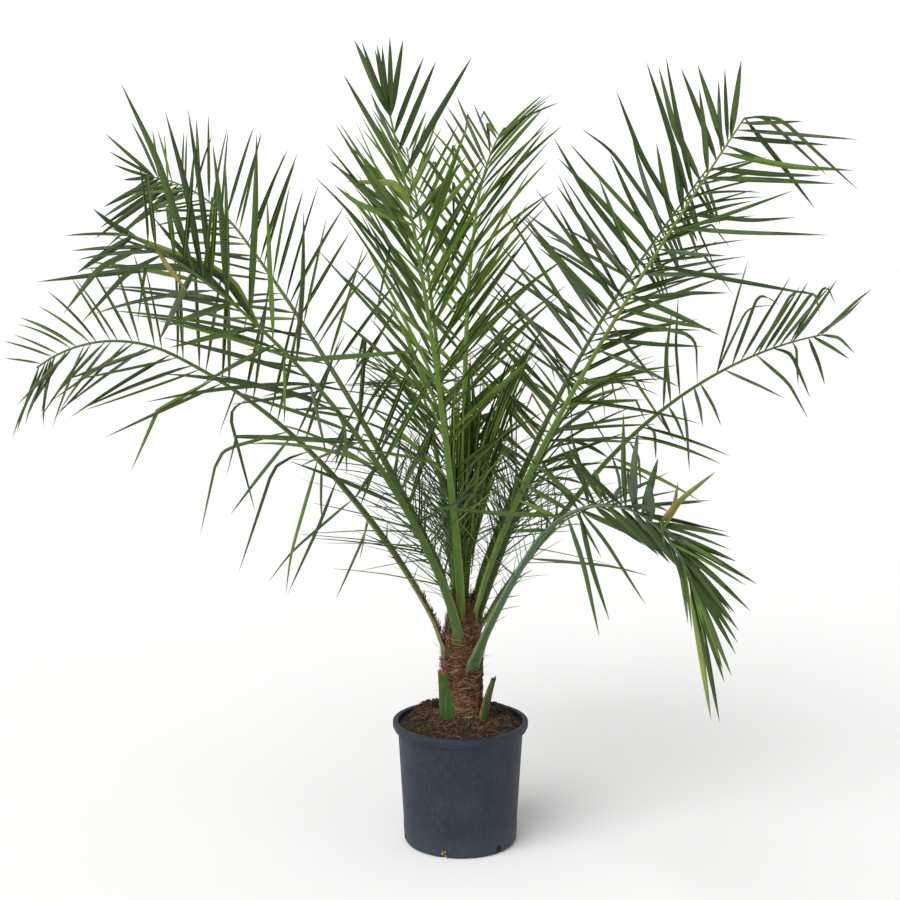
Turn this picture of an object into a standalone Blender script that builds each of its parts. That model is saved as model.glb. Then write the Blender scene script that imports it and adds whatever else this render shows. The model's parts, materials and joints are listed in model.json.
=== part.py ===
"""Young Canary Island date palm in a nursery pot: pot, soil, stem, old leaf bases, fronds, spears."""
import math
import random
from collections import namedtuple

import bmesh
import bpy
from mathutils import Vector
from mathutils.bvhtree import BVHTree

# Metres, +Z up. The origin is the centre of the pot's flat underside.
CLEAR = 0.0003

POT_HEIGHT = 0.315
POT_FOOT_RADIUS = 0.142
POT_CORNER = 0.011
POT_WALL_RADIUS = 0.1585
POT_RIM_RADIUS = 0.1715
POT_RIM_DEPTH = 0.022
POT_WALL = 0.003
POT_STEPS = 48
DRAIN_COUNT = 6
DRAIN_FIRST = 252.0
DRAIN_RADIUS = 0.008
DRAIN_TOP = 0.024

SOIL_EDGE_Z = 0.304
SOIL_TOP_Z = 0.318
SOIL_FLAT_RADIUS = 0.088

STEM_X = 0.004
STEM_BASE_Z = SOIL_TOP_Z + CLEAR
STEM_STEPS = 24
# height above the origin, radius
STEM_PROFILE = (
    (STEM_BASE_Z, 0.0500),
    (0.335, 0.0475),
    (0.370, 0.0455),
    (0.430, 0.0465),
    (0.475, 0.0465),
    (0.510, 0.0445),
    (0.540, 0.0405),
    (0.565, 0.0360),
    (0.590, 0.0310),
    (0.610, 0.0260),
    (0.628, 0.0160),
    (0.636, 0.0000),
)
SEAT_DEPTH = 0.003

# Stations along a rib where its elevation is given, from its seat to its tip.
STATIONS = (0.0, 0.1, 0.4, 0.75, 1.0)
RIB_SIDES = 6
RIB_RINGS = 20
RIB_WIDTH = ((0.0, 1.0), (0.06, 0.92), (0.28, 0.64), (0.5, 0.44), (0.75, 0.28), (1.0, 0.16))
RIB_THICK = ((0.0, 0.0120), (0.06, 0.0125), (0.28, 0.0108), (0.5, 0.0085), (0.75, 0.0060), (1.0, 0.0040))
RIB_FULL_WIDTH = 0.026
RIB_FULL_AT = 0.10          # where the rib has grown from its base width to its full width
FOOT_SINK = 0.028           # the rib starts this far inside the stem, and is cut at its skin
FOOT_SHIFT = 0.006
FOOT_WIDTH = 0.44           # share of the base width
FOOT_THICK = 0.008

LEAFLET_WIDTH = 0.023
LEAFLET_THICK = 0.0115      # share of the leaflet's length
LEAFLET_SHOULDER = 0.20     # where the leaflet is widest
LEAFLET_LENGTH = ((0.0, 0.76), (0.25, 1.0), (0.6, 0.92), (0.85, 0.74), (1.0, 0.54))
TAPER_FROM = 0.4            # where along its leaflets a frond's own "tips" begin to count
LEAFLET_SUNK = 0.002        # how far its root lies behind the middle of the rib
LEAFLET_SAG = 0.06          # share of its drop that its widest point has
LEAFLET_LAST = 0.99         # where along the rib the last leaflet stands
LEAFLET_CLEAR = 0.0014
SPLIT_MARGIN = 0.012        # share of the rib on each side of its cut that bears no leaflet

# Directions are degrees from +X, counter-clockwise seen from above. "base" is the width at the
# seat, "seat" where the rib sits round the stem, "heading" where it goes, "turn" what it adds by
# the tip. "roll", "spread", "lift" and "droop" are given at the first leaflet and at the tip,
# "spread" and "droop" for the left and then the right side. "sides" is the leaflets' length on each
# side, "tips" their share of it at the tip, "crowding" below 1 sets them closer towards the tip,
# and "split" cuts a rib that bends over.
Frond = namedtuple("Frond", "name heading turn seat seat_z rise length base roll spread lift droop first leaf"
                            " sides tips count crowding split")
FRONDS = (
    Frond("frond_left_low", 188, -8, 188, 0.468, (85, 62, 49, 27, -38), 1.40, 0.034, (50, 60),
          ((70, 52), (54, 30)), (26, 12), ((0.08, 0.05), (0.30, 0.02)), 0.27, 0.39,
          (0.90, 1.10), (0.60, 0.60), 18, 0.72, 0.66),
    Frond("frond_left_back", 147, -7, 160, 0.572, (89, 58, 52, 44, 6), 1.59, 0.021, (45, 50),
          ((64, 54), (62, 50)), (26, 12), ((0.06, 0.04), (0.06, 0.04)), 0.27, 0.43,
          (0.92, 0.90), (0.90, 0.90), 19, 0.80, 0),
    Frond("frond_left_front", 214, 9, 254, 0.520, (86, 66, 52, 39, 25), 1.39, 0.030, (-48, -60),
          ((54, 32), (54, 52)), (26, 12), ((0.08, 0.05), (0.06, 0.04)), 0.25, 0.45,
          (0.90, 1.05), (0.65, 1.00), 19, 0.80, 0),
    Frond("frond_front_tall", 256, 2, 264, 0.582, (88, 72, 63, 54, 44), 1.38, 0.022, (10, 0),
          ((47, 2), (46, 6)), (26, 10), ((0.05, 0.02), (0.05, 0.02)), 0.25, 0.40,
          (1.00, 1.00), (1.00, 1.00), 18, 0.85, 0),
    Frond("frond_back_tall", 108, -2, 116, 0.584, (88, 80, 71, 62, 50), 1.29, 0.021, (0, 0),
          ((46, 24), (46, 24)), (26, 12), ((0.04, 0.03), (0.04, 0.03)), 0.27, 0.38,
          (0.90, 1.00), (0.90, 1.00), 18, 0.85, 0),
    Frond("frond_back_right", 100, -34, 72, 0.592, (88, 86, 78, 62, 30), 1.36, 0.021, (0, 0),
          ((48, 30), (48, 32)), (26, 12), ((0.05, 0.05), (0.05, 0.05)), 0.27, 0.36,
          (1.00, 0.95), (1.00, 0.90), 17, 0.85, 0),
    Frond("frond_back_low", 102, -4, 98, 0.520, (72, 58, 46, 18, -24), 1.10, 0.030, (0, 0),
          ((60, 44), (60, 44)), (26, 12), ((0.10, 0.10), (0.10, 0.10)), 0.30, 0.34,
          (1.00, 1.00), (1.00, 1.00), 15, 0.85, 0),
    Frond("frond_right_high", 351, 7, 344, 0.562, (85, 70, 62, 58, 57), 1.41, 0.022, (60, 65),
          ((72, 42), (70, 48)), (26, 12), ((0.05, 0.04), (0.05, 0.04)), 0.27, 0.41,
          (1.00, 1.10), (0.85, 1.10), 20, 0.85, 0),
    Frond("frond_right_back", 30, 2, 28, 0.580, (82, 66, 59, 49, 46), 1.36, 0.021, (-50, -40),
          ((60, 42), (60, 42)), (26, 12), ((0.05, 0.05), (0.05, 0.05)), 0.27, 0.38,
          (0.85, 1.00), (1.00, 0.90), 18, 0.85, 0),
    Frond("frond_right_mid", 20, 2, 8, 0.525, (68, 51, 46, 24, 8), 1.28, 0.028, (-40, -45),
          ((78, 64), (54, 46)), (26, 12), ((0.08, 0.06), (0.06, 0.10)), 0.30, 0.38,
          (0.75, 1.15), (1.00, 1.20), 15, 0.80, 0),
    Frond("frond_right_low", 305, -2, 308, 0.452, (70, 57, 49, 0, -56), 1.06, 0.044, (20, 5),
          ((72, 20), (62, 22)), (56, 12), ((0.36, 0.04), (0.04, 0.06)), 0.32, 0.36,
          (0.95, 0.72), (1.60, 1.60), 18, 0.95, 0.62),
    Frond("frond_back_right_low", 56, 8, 52, 0.520, (62, 52, 46, 24, -12), 1.08, 0.028, (0, 0),
          ((60, 44), (60, 44)), (26, 12), ((0.10, 0.08), (0.10, 0.08)), 0.32, 0.30,
          (1.00, 1.00), (1.00, 1.00), 15, 0.85, 0),
)

# Unopened leaves, each a slim bundle with a few loose tips. "foot" is where it stands in the top of
# the stem, "girth" its largest radius, "first" where its loose tips begin, and "count" their pairs.
Spear = namedtuple("Spear", "name heading foot_x foot_y foot_z rise length girth first leaf count")
SPEARS = (
    Spear("spear_centre", 30, 0.001, -0.001, 0.622, (89, 89, 88, 87, 86), 0.60, 0.024, 0.45, 0.20, 5),
    Spear("spear_right", 340, 0.0155, -0.004, 0.612, (88, 86, 80, 66, 56), 0.74, 0.019, 0.40, 0.20, 5),
)
SPEAR_GIRTH = ((0.0, 0.26), (0.2, 0.36), (0.4, 0.85), (0.6, 1.0), (0.8, 0.72), (1.0, 0.06))
SPEAR_RINGS = 12
SPEAR_FLAT = 0.8            # its thickness over its width
SPEAR_TIP_WIDTH = 0.016
SPEAR_TIP_THICK = 0.018     # share of the tip's length
SPEAR_TIP_SHOULDER = 0.35
SPEAR_SPREAD = (16.0, 8.0)

# Old leaf bases on the soil: azimuth round the stem, distance from its axis, then the strip from
# foot to top as height, outward lean, width and thickness, how far its edges curl in to the stem
# and how far its top stands aside.
Stub = namedtuple("Stub", "name azimuth distance strip bend aside")
STUBS = (
    Stub("leaf_base_left", 226, 0.0605,
         ((0.0, 0.0, 0.060, 0.0150), (0.045, 0.001, 0.052, 0.0125), (0.095, 0.003, 0.037, 0.0100),
          (0.136, 0.006, 0.023, 0.0080)), 0.013, -0.015),
    Stub("leaf_base_right", 328, 0.0650,
         ((0.0, 0.0, 0.042, 0.0150), (0.040, 0.005, 0.036, 0.0120), (0.080, 0.013, 0.026, 0.0095),
          (0.118, 0.023, 0.010, 0.0050)), 0.007, 0.017),
    Stub("leaf_base_front", 285, 0.0600,
         ((0.0, 0.0, 0.024, 0.0110), (0.012, 0.001, 0.023, 0.0105), (0.022, 0.002, 0.021, 0.0095)),
         0.002, 0.0),
)
# Across and outward, in halves of the strip's width and thickness.
STUB_SECTION = ((-1, 0), (-0.5, 0.9), (0.5, 0.9), (1, 0), (0.55, -1), (-0.55, -1))

COLOURS = {
    "pot": ((0.045, 0.055, 0.070), 0.55),
    "soil": ((0.040, 0.022, 0.012), 0.95),
    "stem": ((0.130, 0.070, 0.040), 0.90),
    "leaf_base_left": ((0.110, 0.190, 0.045), 0.55),
    "leaf_base_right": ((0.070, 0.110, 0.035), 0.65),
    "leaf_base_front": ((0.060, 0.080, 0.040), 0.70),
    "frond": ((0.065, 0.150, 0.035), 0.50),
    "spear": ((0.090, 0.210, 0.030), 0.48),
}


def along(table, t):
    """Value at t of a table of (position, value) rows."""
    for (a, va), (b, vb) in zip(table, table[1:]):
        if t <= b:
            return va + (vb - va) * (t - a) / (b - a)
    return table[-1][1]


def mix(a, b, t):
    return a + (b - a) * t


def stem_radius(z):
    return along(STEM_PROFILE, z)


# ---------------------------------------------------------------- scene and objects

def empty_scene():
    for obj in list(bpy.data.objects):
        bpy.data.objects.remove(obj, do_unlink=True)


def new_collection(name):
    collection = bpy.data.collections.new(name)
    bpy.context.scene.collection.children.link(collection)
    return collection


def make_material(name, key):
    colour, roughness = COLOURS[key]
    material = bpy.data.materials.new(name)
    material.use_nodes = True
    shader = material.node_tree.nodes["Principled BSDF"]
    shader.inputs["Base Color"].default_value = (*colour, 1.0)
    shader.inputs["Roughness"].default_value = roughness
    shader.inputs["Metallic"].default_value = 0.0
    return material


def add_object(name, mesh, collection, key=None):
    obj = bpy.data.objects.new(name, mesh)
    collection.objects.link(obj)
    if key:
        mesh.materials.clear()
        mesh.materials.append(make_material(name, key))
    return obj


def mesh_from(bm, name):
    bmesh.ops.recalc_face_normals(bm, faces=bm.faces)
    mesh = bpy.data.meshes.new(name)
    bm.to_mesh(mesh)
    bm.free()
    return mesh


def boolean(obj, operation, other=None, collection=None):
    modifier = obj.modifiers.new(operation.title(), "BOOLEAN")
    modifier.operation = operation
    modifier.solver = "EXACT"
    if collection:
        modifier.operand_type = "COLLECTION"
        modifier.collection = collection
    else:
        modifier.object = other
    return modifier


def apply_modifiers(obj):
    depsgraph = bpy.context.evaluated_depsgraph_get()
    mesh = bpy.data.meshes.new_from_object(obj.evaluated_get(depsgraph))
    obj.modifiers.clear()
    old = obj.data
    obj.data = mesh
    bpy.data.meshes.remove(old)


def move_origin(obj, point):
    for vertex in obj.data.vertices:
        vertex.co -= point
    obj.location = point


# ---------------------------------------------------------------- turned pieces

def turned(name, profile, steps, collection, key, location=(0.0, 0.0, 0.0)):
    """Profile runs from the axis, down the outer side, back to the axis."""
    bm = bmesh.new()
    points = [bm.verts.new((r, 0.0, z)) for r, z in profile]
    for a, b in zip(points, points[1:]):
        bm.edges.new((a, b))
    mesh = bpy.data.meshes.new(name)
    bm.to_mesh(mesh)
    bm.free()
    obj = add_object(name, mesh, collection, key)
    obj.location = location
    screw = obj.modifiers.new("Turn", "SCREW")
    screw.axis = "Z"
    screw.steps = steps
    screw.render_steps = steps
    screw.use_merge_vertices = True
    screw.merge_threshold = 0.00002
    screw.use_smooth_shade = True
    return obj


def wall_radius(z):
    """Outside of the pot's wall between the corner and the rim."""
    return mix(POT_FOOT_RADIUS, POT_WALL_RADIUS, (z - POT_CORNER) / (POT_HEIGHT - POT_RIM_DEPTH - POT_CORNER))


def corner(centre_r, centre_z, radius, count=5):
    """Quarter round from the wall down to the underside."""
    turn = [math.radians(90.0 * i / (count - 1)) for i in range(count)]
    return [(centre_r + radius * math.cos(a), centre_z - radius * math.sin(a)) for a in turn]


def make_pot(collection, cutters):
    top = POT_HEIGHT
    under = POT_HEIGHT - POT_RIM_DEPTH
    inner_corner = corner(POT_FOOT_RADIUS - POT_CORNER, POT_CORNER, POT_CORNER - POT_WALL)
    mouth = wall_radius(top - POT_WALL) - POT_WALL + 0.003
    profile = [(0.0, POT_WALL)]
    profile += reversed(inner_corner)
    profile += [(wall_radius(under) - POT_WALL, under), (mouth, top - 0.002), (mouth + 0.002, top)]
    profile += [(POT_RIM_RADIUS - 0.003, top), (POT_RIM_RADIUS, top - 0.003), (POT_RIM_RADIUS, under)]
    profile += [(POT_RIM_RADIUS - POT_WALL, under), (POT_RIM_RADIUS - POT_WALL, top - 0.005)]
    profile += [(wall_radius(top - 0.005), top - 0.005), (wall_radius(under), under)]
    profile += corner(POT_FOOT_RADIUS - POT_CORNER, POT_CORNER, POT_CORNER)
    profile += [(0.0, 0.0)]
    pot = turned("pot", profile, POT_STEPS, collection, "pot")
    for i in range(DRAIN_COUNT):
        angle = math.radians(DRAIN_FIRST + 360.0 * i / DRAIN_COUNT)
        cutters.objects.link(drain_cutter(f"drain_cutter_{i + 1}", angle))
    boolean(pot, "DIFFERENCE", collection=cutters)
    return pot


def drain_cutter(name, angle):
    """Slot with a round top, lying across the corner of the pot."""
    centre_z = DRAIN_TOP - DRAIN_RADIUS
    outline = [(DRAIN_RADIUS * math.cos(a), centre_z + DRAIN_RADIUS * math.sin(a))
               for a in [math.radians(180.0 * i / 8) for i in range(9)]]
    outline += [(-DRAIN_RADIUS, -0.01), (DRAIN_RADIUS, -0.01)]
    bm = bmesh.new()
    near = [bm.verts.new((POT_FOOT_RADIUS - POT_CORNER + 0.001, y, z)) for y, z in outline]
    face = bm.faces.new(near)
    grown = bmesh.ops.extrude_face_region(bm, geom=[face])
    moved = [item for item in grown["geom"] if isinstance(item, bmesh.types.BMVert)]
    bmesh.ops.translate(bm, verts=moved, vec=(0.03, 0.0, 0.0))
    cutter = bpy.data.objects.new(name, mesh_from(bm, name))
    cutter.rotation_euler[2] = angle
    cutter.hide_render = True
    cutter.display_type = "WIRE"
    return cutter


def make_soil(collection):
    inside = POT_WALL + CLEAR
    profile = [(0.0, SOIL_TOP_Z), (SOIL_FLAT_RADIUS, SOIL_TOP_Z), (0.118, SOIL_TOP_Z - 0.002)]
    profile += [(0.142, SOIL_TOP_Z - 0.006), (wall_radius(SOIL_EDGE_Z) - inside, SOIL_EDGE_Z)]
    profile += corner(POT_FOOT_RADIUS - POT_CORNER, POT_CORNER, POT_CORNER - inside)
    profile += [(0.0, inside)]
    return turned("soil", profile, POT_STEPS, collection, "soil")


def stem_outline(grow):
    rows = [(0.0, STEM_PROFILE[-1][0] + grow)]
    rows += [(r + grow, z + (grow if r < 0.02 else 0.0)) for z, r in reversed(STEM_PROFILE[:-1])]
    rows += [(0.0, STEM_PROFILE[0][0])]
    return rows


# ---------------------------------------------------------------- lofts

def loft(bm, rings):
    """Closed tube through rings of equal count."""
    rows = [[bm.verts.new(point) for point in ring] for ring in rings]
    count = len(rows[0])
    for low, high in zip(rows, rows[1:]):
        for i in range(count):
            j = (i + 1) % count
            bm.faces.new((low[i], low[j], high[j], high[i]))
    bm.faces.new(list(reversed(rows[0])))
    bm.faces.new(rows[-1])


def oval(centre, across, over, sides):
    return [centre + across * math.cos(2 * math.pi * i / sides) + over * math.sin(2 * math.pi * i / sides)
            for i in range(sides)]


class Rib:
    """Curve of a rib with its frame: tangent, upper side and lateral direction at each station."""

    def __init__(self, origin, heading, turn, rise, length, roll_rows, steps=60):
        self.length = length
        self.steps = steps
        self.rows = []
        point = Vector(origin)
        for i in range(steps + 1):
            s = i / steps
            self.rows.append((point.copy(), *self.frame(heading + turn * s, rise, roll_rows, s)))
            middle = (i + 0.5) / steps
            point += self.frame(heading + turn * middle, rise, roll_rows, middle)[0] * (length / steps)

    @staticmethod
    def frame(heading, rise, roll_rows, s):
        e = math.radians(along(tuple(zip(STATIONS, rise)), s))
        h = math.radians(heading)
        tangent = Vector((math.cos(e) * math.cos(h), math.cos(e) * math.sin(h), math.sin(e)))
        upper = Vector((-math.sin(e) * math.cos(h), -math.sin(e) * math.sin(h), math.cos(e)))
        lateral = tangent.cross(upper)
        roll = math.radians(along(roll_rows, s))
        turned_upper = upper * math.cos(roll) - lateral * math.sin(roll)
        return tangent, turned_upper, lateral * math.cos(roll) + upper * math.sin(roll)

    def at(self, s):
        x = min(max(s, 0.0), 1.0) * self.steps
        i = min(int(x), self.steps - 1)
        return tuple(a.lerp(b, x - i) for a, b in zip(self.rows[i], self.rows[i + 1]))


def frond_rib(frond):
    seat = math.radians(frond.seat)
    radius = stem_radius(frond.seat_z) - SEAT_DEPTH
    origin = (STEM_X + radius * math.cos(seat), radius * math.sin(seat), frond.seat_z)
    rolls = ((0.0, frond.heading - frond.seat), (frond.first, frond.roll[0]), (1.0, frond.roll[1]))
    return Rib(origin, frond.heading, frond.turn, frond.rise, frond.length, rolls)


def rib_section(rib, frond, s):
    point, _tangent, upper, lateral = rib.at(s)
    full = mix(frond.base, RIB_FULL_WIDTH, min(s / RIB_FULL_AT, 1.0))
    wide = full * along(RIB_WIDTH, s) / 2
    thick = along(RIB_THICK, s) / 2
    return oval(point, lateral * wide, upper * thick, RIB_SIDES)


def rib_rings(rib, frond, start, end):
    count = max(5, round(RIB_RINGS * (end - start)))
    rings = []
    if start == 0.0:
        point, tangent, upper, lateral = rib.at(0.0)
        foot = point - tangent * FOOT_SINK + upper * FOOT_SHIFT
        across = lateral * frond.base * FOOT_WIDTH / 2
        rings.append(oval(foot, across, upper * FOOT_THICK / 2, RIB_SIDES))
    for i in range(count + 1):
        rings.append(rib_section(rib, frond, mix(start, end, i / count)))
    return rings


# ---------------------------------------------------------------- leaflets

# A blade's faces, over its root, both edges, both backs and its tip.
FACES = ((0, 1, 3), (0, 3, 2), (0, 2, 4), (0, 4, 1), (5, 3, 1), (5, 2, 3), (5, 4, 2), (5, 1, 4))


def blade(root, shoulder, tip, wide, thick, grow=0.0):
    """Six points: root, the two edges and two backs of the widest section, tip."""
    length = (tip - root).length
    direction = (tip - root) / length
    over = direction.cross(wide).normalized()
    half_thick = length * thick / 2 + grow
    wide = wide.normalized() * (wide.length + grow)
    return [root, shoulder + wide, shoulder - wide, shoulder + over * half_thick,
            shoulder - over * half_thick, tip + direction * grow]


def leaflet_points(rib, frond, side, u, draw, share=1.0, swing=0.0, grow=0.0):
    s = mix(frond.first, LEAFLET_LAST, u ** frond.crowding)
    point, tangent, upper, lateral = rib.at(s)
    hand = 0 if side > 0 else 1
    spread = math.radians(mix(*frond.spread[hand], u ** 1.2) + draw[0] + swing)
    lift = math.radians(mix(*frond.lift, u) + draw[1])
    out = lateral * side * math.cos(lift) + upper * math.sin(lift)
    direction = tangent * math.cos(spread) + out * math.sin(spread)
    taper = mix(1.0, frond.tips[hand], max(0.0, (u - TAPER_FROM) / (1 - TAPER_FROM)))
    length = frond.leaf * frond.sides[hand] * along(LEAFLET_LENGTH, u) * taper * draw[2] * share
    drop = 2 * mix(*frond.droop[hand], u) * draw[3] * length
    root = point - direction * LEAFLET_SUNK
    shoulder = root + direction * length * LEAFLET_SHOULDER - Vector((0, 0, drop * LEAFLET_SAG))
    tip = root + direction * length - Vector((0, 0, drop))
    wide = tangent - direction * tangent.dot(direction)
    wide = wide.normalized() * (LEAFLET_WIDTH / 2 * min(1.0, 0.55 + length * 1.3))
    return s, blade(root, shoulder, tip, wide, LEAFLET_THICK, grow)


class Space:
    """What already stands in the crown, as small trees tagged with their node."""

    def __init__(self):
        self.items = []

    def add(self, node, points, faces):
        self.items.append((node, *self.box(points), BVHTree.FromPolygons(points, faces)))

    @staticmethod
    def box(points):
        low = Vector([min(p[i] for p in points) for i in range(3)])
        high = Vector([max(p[i] for p in points) for i in range(3)])
        return low, high

    def add_object(self, node, obj):
        mesh = obj.data
        world = obj.matrix_world
        points = [world @ v.co for v in mesh.vertices]
        self.add(node, points, [tuple(p.vertices) for p in mesh.polygons])

    def is_free(self, node, points, faces):
        low, high = self.box(points)
        tree = BVHTree.FromPolygons(points, faces)
        for other, other_low, other_high, other_tree in self.items:
            if other == node:
                continue
            if any(high[i] < other_low[i] or low[i] > other_high[i] for i in range(3)):
                continue
            if tree.overlap(other_tree):
                return False
        return True


# Share of its length and swing in degrees that a leaflet tries before it is left out.
TRIES = ((1.0, 0.0), (1.0, 7.0), (1.0, -7.0), (0.85, 0.0), (0.8, 12.0), (0.8, -12.0), (0.65, 0.0))


def frond_leaflets(rib, frond, pieces, space, rnd):
    """Leaflets by piece; one that would touch another limb swings, shortens or is left out."""
    found = {name: [] for name, _start, _end in pieces}
    for k in range(frond.count):
        for side in (1, -1):
            draw = (rnd.uniform(-4, 4), rnd.uniform(-6, 6), rnd.uniform(0.93, 1.05), rnd.uniform(0.6, 1.4))
            u = (k + 0.5 + 0.25 * side) / frond.count
            for share, swing in TRIES:
                s, points = leaflet_points(rib, frond, side, u, draw, share, swing)
                if abs(s - frond.split) < SPLIT_MARGIN:
                    break
                wider = leaflet_points(rib, frond, side, u, draw, share, swing, LEAFLET_CLEAR)[1]
                name = next(n for n, start, end in pieces if start - 0.02 <= s <= end + 0.001)
                if space.is_free(name, wider, FACES):
                    space.add(name, points, FACES)
                    found[name].append(points)
                    break
    return found


def joined(obj, blades, name):
    """One union of the rib with all its leaflets."""
    group = new_collection(name + "_leaflets")
    for i, points in enumerate(blades):
        bm = bmesh.new()
        verts = [bm.verts.new(p) for p in points]
        for face in FACES:
            bm.faces.new([verts[v] for v in face])
        group.objects.link(bpy.data.objects.new(f"{name}_leaflet_{i}", mesh_from(bm, name)))
    boolean(obj, "UNION", collection=group)
    bpy.context.view_layer.update()
    apply_modifiers(obj)
    for leaf in list(group.objects):
        mesh = leaf.data
        bpy.data.objects.remove(leaf, do_unlink=True)
        bpy.data.meshes.remove(mesh)
    bpy.data.collections.remove(group)


# ---------------------------------------------------------------- limbs

def make_limb(name, rings, collection, key, stem_cutter=None):
    bm = bmesh.new()
    loft(bm, rings)
    obj = add_object(name, mesh_from(bm, name), collection, key)
    if stem_cutter:
        boolean(obj, "DIFFERENCE", other=stem_cutter)
        bpy.context.view_layer.update()
        apply_modifiers(obj)
    return obj


def make_stub(stub, collection, stem_cutter):
    a = math.radians(stub.azimuth)
    outward = Vector((math.cos(a), math.sin(a), 0.0))
    across = Vector((-math.sin(a), math.cos(a), 0.0))
    rings = []
    for height, lean, width, thick in stub.strip:
        centre = Vector((STEM_X, 0.0, STEM_BASE_Z + height)) + outward * (stub.distance + lean)
        centre += across * stub.aside * height / stub.strip[-1][0]
        ring = []
        for x, y in STUB_SECTION:
            curl = -stub.bend * x * x
            ring.append(centre + across * (x * width / 2) + outward * (y * thick / 2 + curl))
        rings.append(ring)
    return make_limb(stub.name, rings, collection, stub.name, stem_cutter)


def spear_rib(spear):
    origin = (spear.foot_x, spear.foot_y, spear.foot_z)
    return Rib(origin, spear.heading, 0.0, spear.rise, spear.length, ((0.0, 0.0), (1.0, 0.0)))


def spear_rings(rib, spear):
    rings = []
    for i in range(SPEAR_RINGS + 1):
        s = i / SPEAR_RINGS
        point, _tangent, upper, lateral = rib.at(s)
        radius = spear.girth * along(SPEAR_GIRTH, s)
        rings.append(oval(point, lateral * radius, upper * radius * SPEAR_FLAT, RIB_SIDES))
    return rings


def spear_leaflets(rib, spear, space, rnd):
    found = []
    for k in range(spear.count):
        for side in (1, -1):
            u = (k + 0.5 + 0.25 * side) / spear.count
            point, tangent, upper, lateral = rib.at(mix(spear.first, 0.9, u))
            angle = math.radians(mix(*SPEAR_SPREAD, u) + rnd.uniform(-2, 2))
            out = (lateral * side + upper * rnd.uniform(-0.8, 0.8)).normalized()
            direction = tangent * math.cos(angle) + out * math.sin(angle)
            length = spear.leaf * mix(1.0, 0.75, u) * rnd.uniform(0.9, 1.05)
            wide = direction.cross(upper).normalized() * SPEAR_TIP_WIDTH / 2
            shoulder = point + direction * length * SPEAR_TIP_SHOULDER
            shape = (point, shoulder, point + direction * length, wide, SPEAR_TIP_THICK)
            points = blade(*shape)
            wider = blade(*shape, LEAFLET_CLEAR)
            if space.is_free(spear.name, wider, FACES):
                space.add(spear.name, points, FACES)
                found.append(points)
    return found


def main():
    empty_scene()
    palm = new_collection("canary_island_date_palm")
    cutters = new_collection("drain_cutters")
    scaffold = new_collection("stem_cutters")
    root = bpy.data.objects.new("palm_root", None)
    palm.objects.link(root)
    rnd = random.Random(7)

    pot = make_pot(palm, cutters)
    soil = make_soil(palm)
    stem = turned("stem", stem_outline(0.0), STEM_STEPS, palm, "stem", (STEM_X, 0.0, 0.0))
    cutter = turned("stem_cutter", stem_outline(CLEAR), STEM_STEPS, scaffold, None, (STEM_X, 0.0, 0.0))
    cutter.hide_render = True
    cutter.display_type = "WIRE"
    bpy.context.view_layer.update()

    space = Space()
    limbs = []
    for stub in STUBS:
        obj = make_stub(stub, palm, cutter)
        space.add_object(stub.name, obj)
        limbs.append((obj, Vector((0.0, 0.0, STEM_BASE_Z))))

    spears = []
    for spear in SPEARS:
        rib = spear_rib(spear)
        obj = make_limb(spear.name, spear_rings(rib, spear), palm, "spear", cutter)
        space.add_object(spear.name, obj)
        spears.append((spear, rib, obj))
        limbs.append((obj, rib.at(0.0)[0]))

    fronds = []
    for frond in FRONDS:
        rib = frond_rib(frond)
        gap = CLEAR / frond.length / 2
        cuts = [(frond.name, 0.0, 1.0)]
        if frond.split:
            cuts = [(frond.name, 0.0, frond.split - gap), (frond.name + "_tip", frond.split + gap, 1.0)]
        objects = {}
        for name, start, end in cuts:
            rings = rib_rings(rib, frond, start, end)
            obj = make_limb(name, rings, palm, "frond", cutter if start == 0.0 else None)
            space.add_object(name, obj)
            objects[name] = obj
            limbs.append((obj, rib.at(start)[0]))
        fronds.append((frond, rib, cuts, objects))

    for spear, rib, obj in spears:
        joined(obj, spear_leaflets(rib, spear, space, rnd), spear.name)
    for frond, rib, cuts, objects in fronds:
        found = frond_leaflets(rib, frond, cuts, space, rnd)
        for name, blades in found.items():
            joined(objects[name], blades, name)

    for obj, point in limbs:
        move_origin(obj, point)
    for obj in [pot, soil, stem] + [limb for limb, _point in limbs]:
        obj.parent = root


main()
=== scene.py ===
# Young Canary Island date palm in a nursery pot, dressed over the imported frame.
import json
import math
import random

import bmesh
import bpy
from mathutils import Matrix, Vector, noise
from mathutils.bvhtree import BVHTree

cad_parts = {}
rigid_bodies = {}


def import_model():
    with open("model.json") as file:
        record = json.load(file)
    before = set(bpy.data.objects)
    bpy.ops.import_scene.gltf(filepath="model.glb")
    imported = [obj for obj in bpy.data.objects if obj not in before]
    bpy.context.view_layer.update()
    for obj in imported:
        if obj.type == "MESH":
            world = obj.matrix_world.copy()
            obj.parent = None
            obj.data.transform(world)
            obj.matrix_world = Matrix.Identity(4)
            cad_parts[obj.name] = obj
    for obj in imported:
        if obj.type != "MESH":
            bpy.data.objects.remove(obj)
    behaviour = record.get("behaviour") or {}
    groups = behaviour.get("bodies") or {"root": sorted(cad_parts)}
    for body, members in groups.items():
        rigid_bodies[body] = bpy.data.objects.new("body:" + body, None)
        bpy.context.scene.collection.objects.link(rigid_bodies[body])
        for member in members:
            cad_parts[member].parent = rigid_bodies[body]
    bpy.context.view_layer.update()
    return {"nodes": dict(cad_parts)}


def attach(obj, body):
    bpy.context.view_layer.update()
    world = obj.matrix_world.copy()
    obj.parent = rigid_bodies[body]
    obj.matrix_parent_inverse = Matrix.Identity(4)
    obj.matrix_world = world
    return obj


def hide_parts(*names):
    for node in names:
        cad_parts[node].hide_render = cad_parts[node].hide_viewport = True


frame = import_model()
print("frame:", len(frame["nodes"]), "nodes")

up = Vector((0, 0, 1))
wavePeriod = 0.314              # metres between the bands of a wave texture at scale 1


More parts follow.
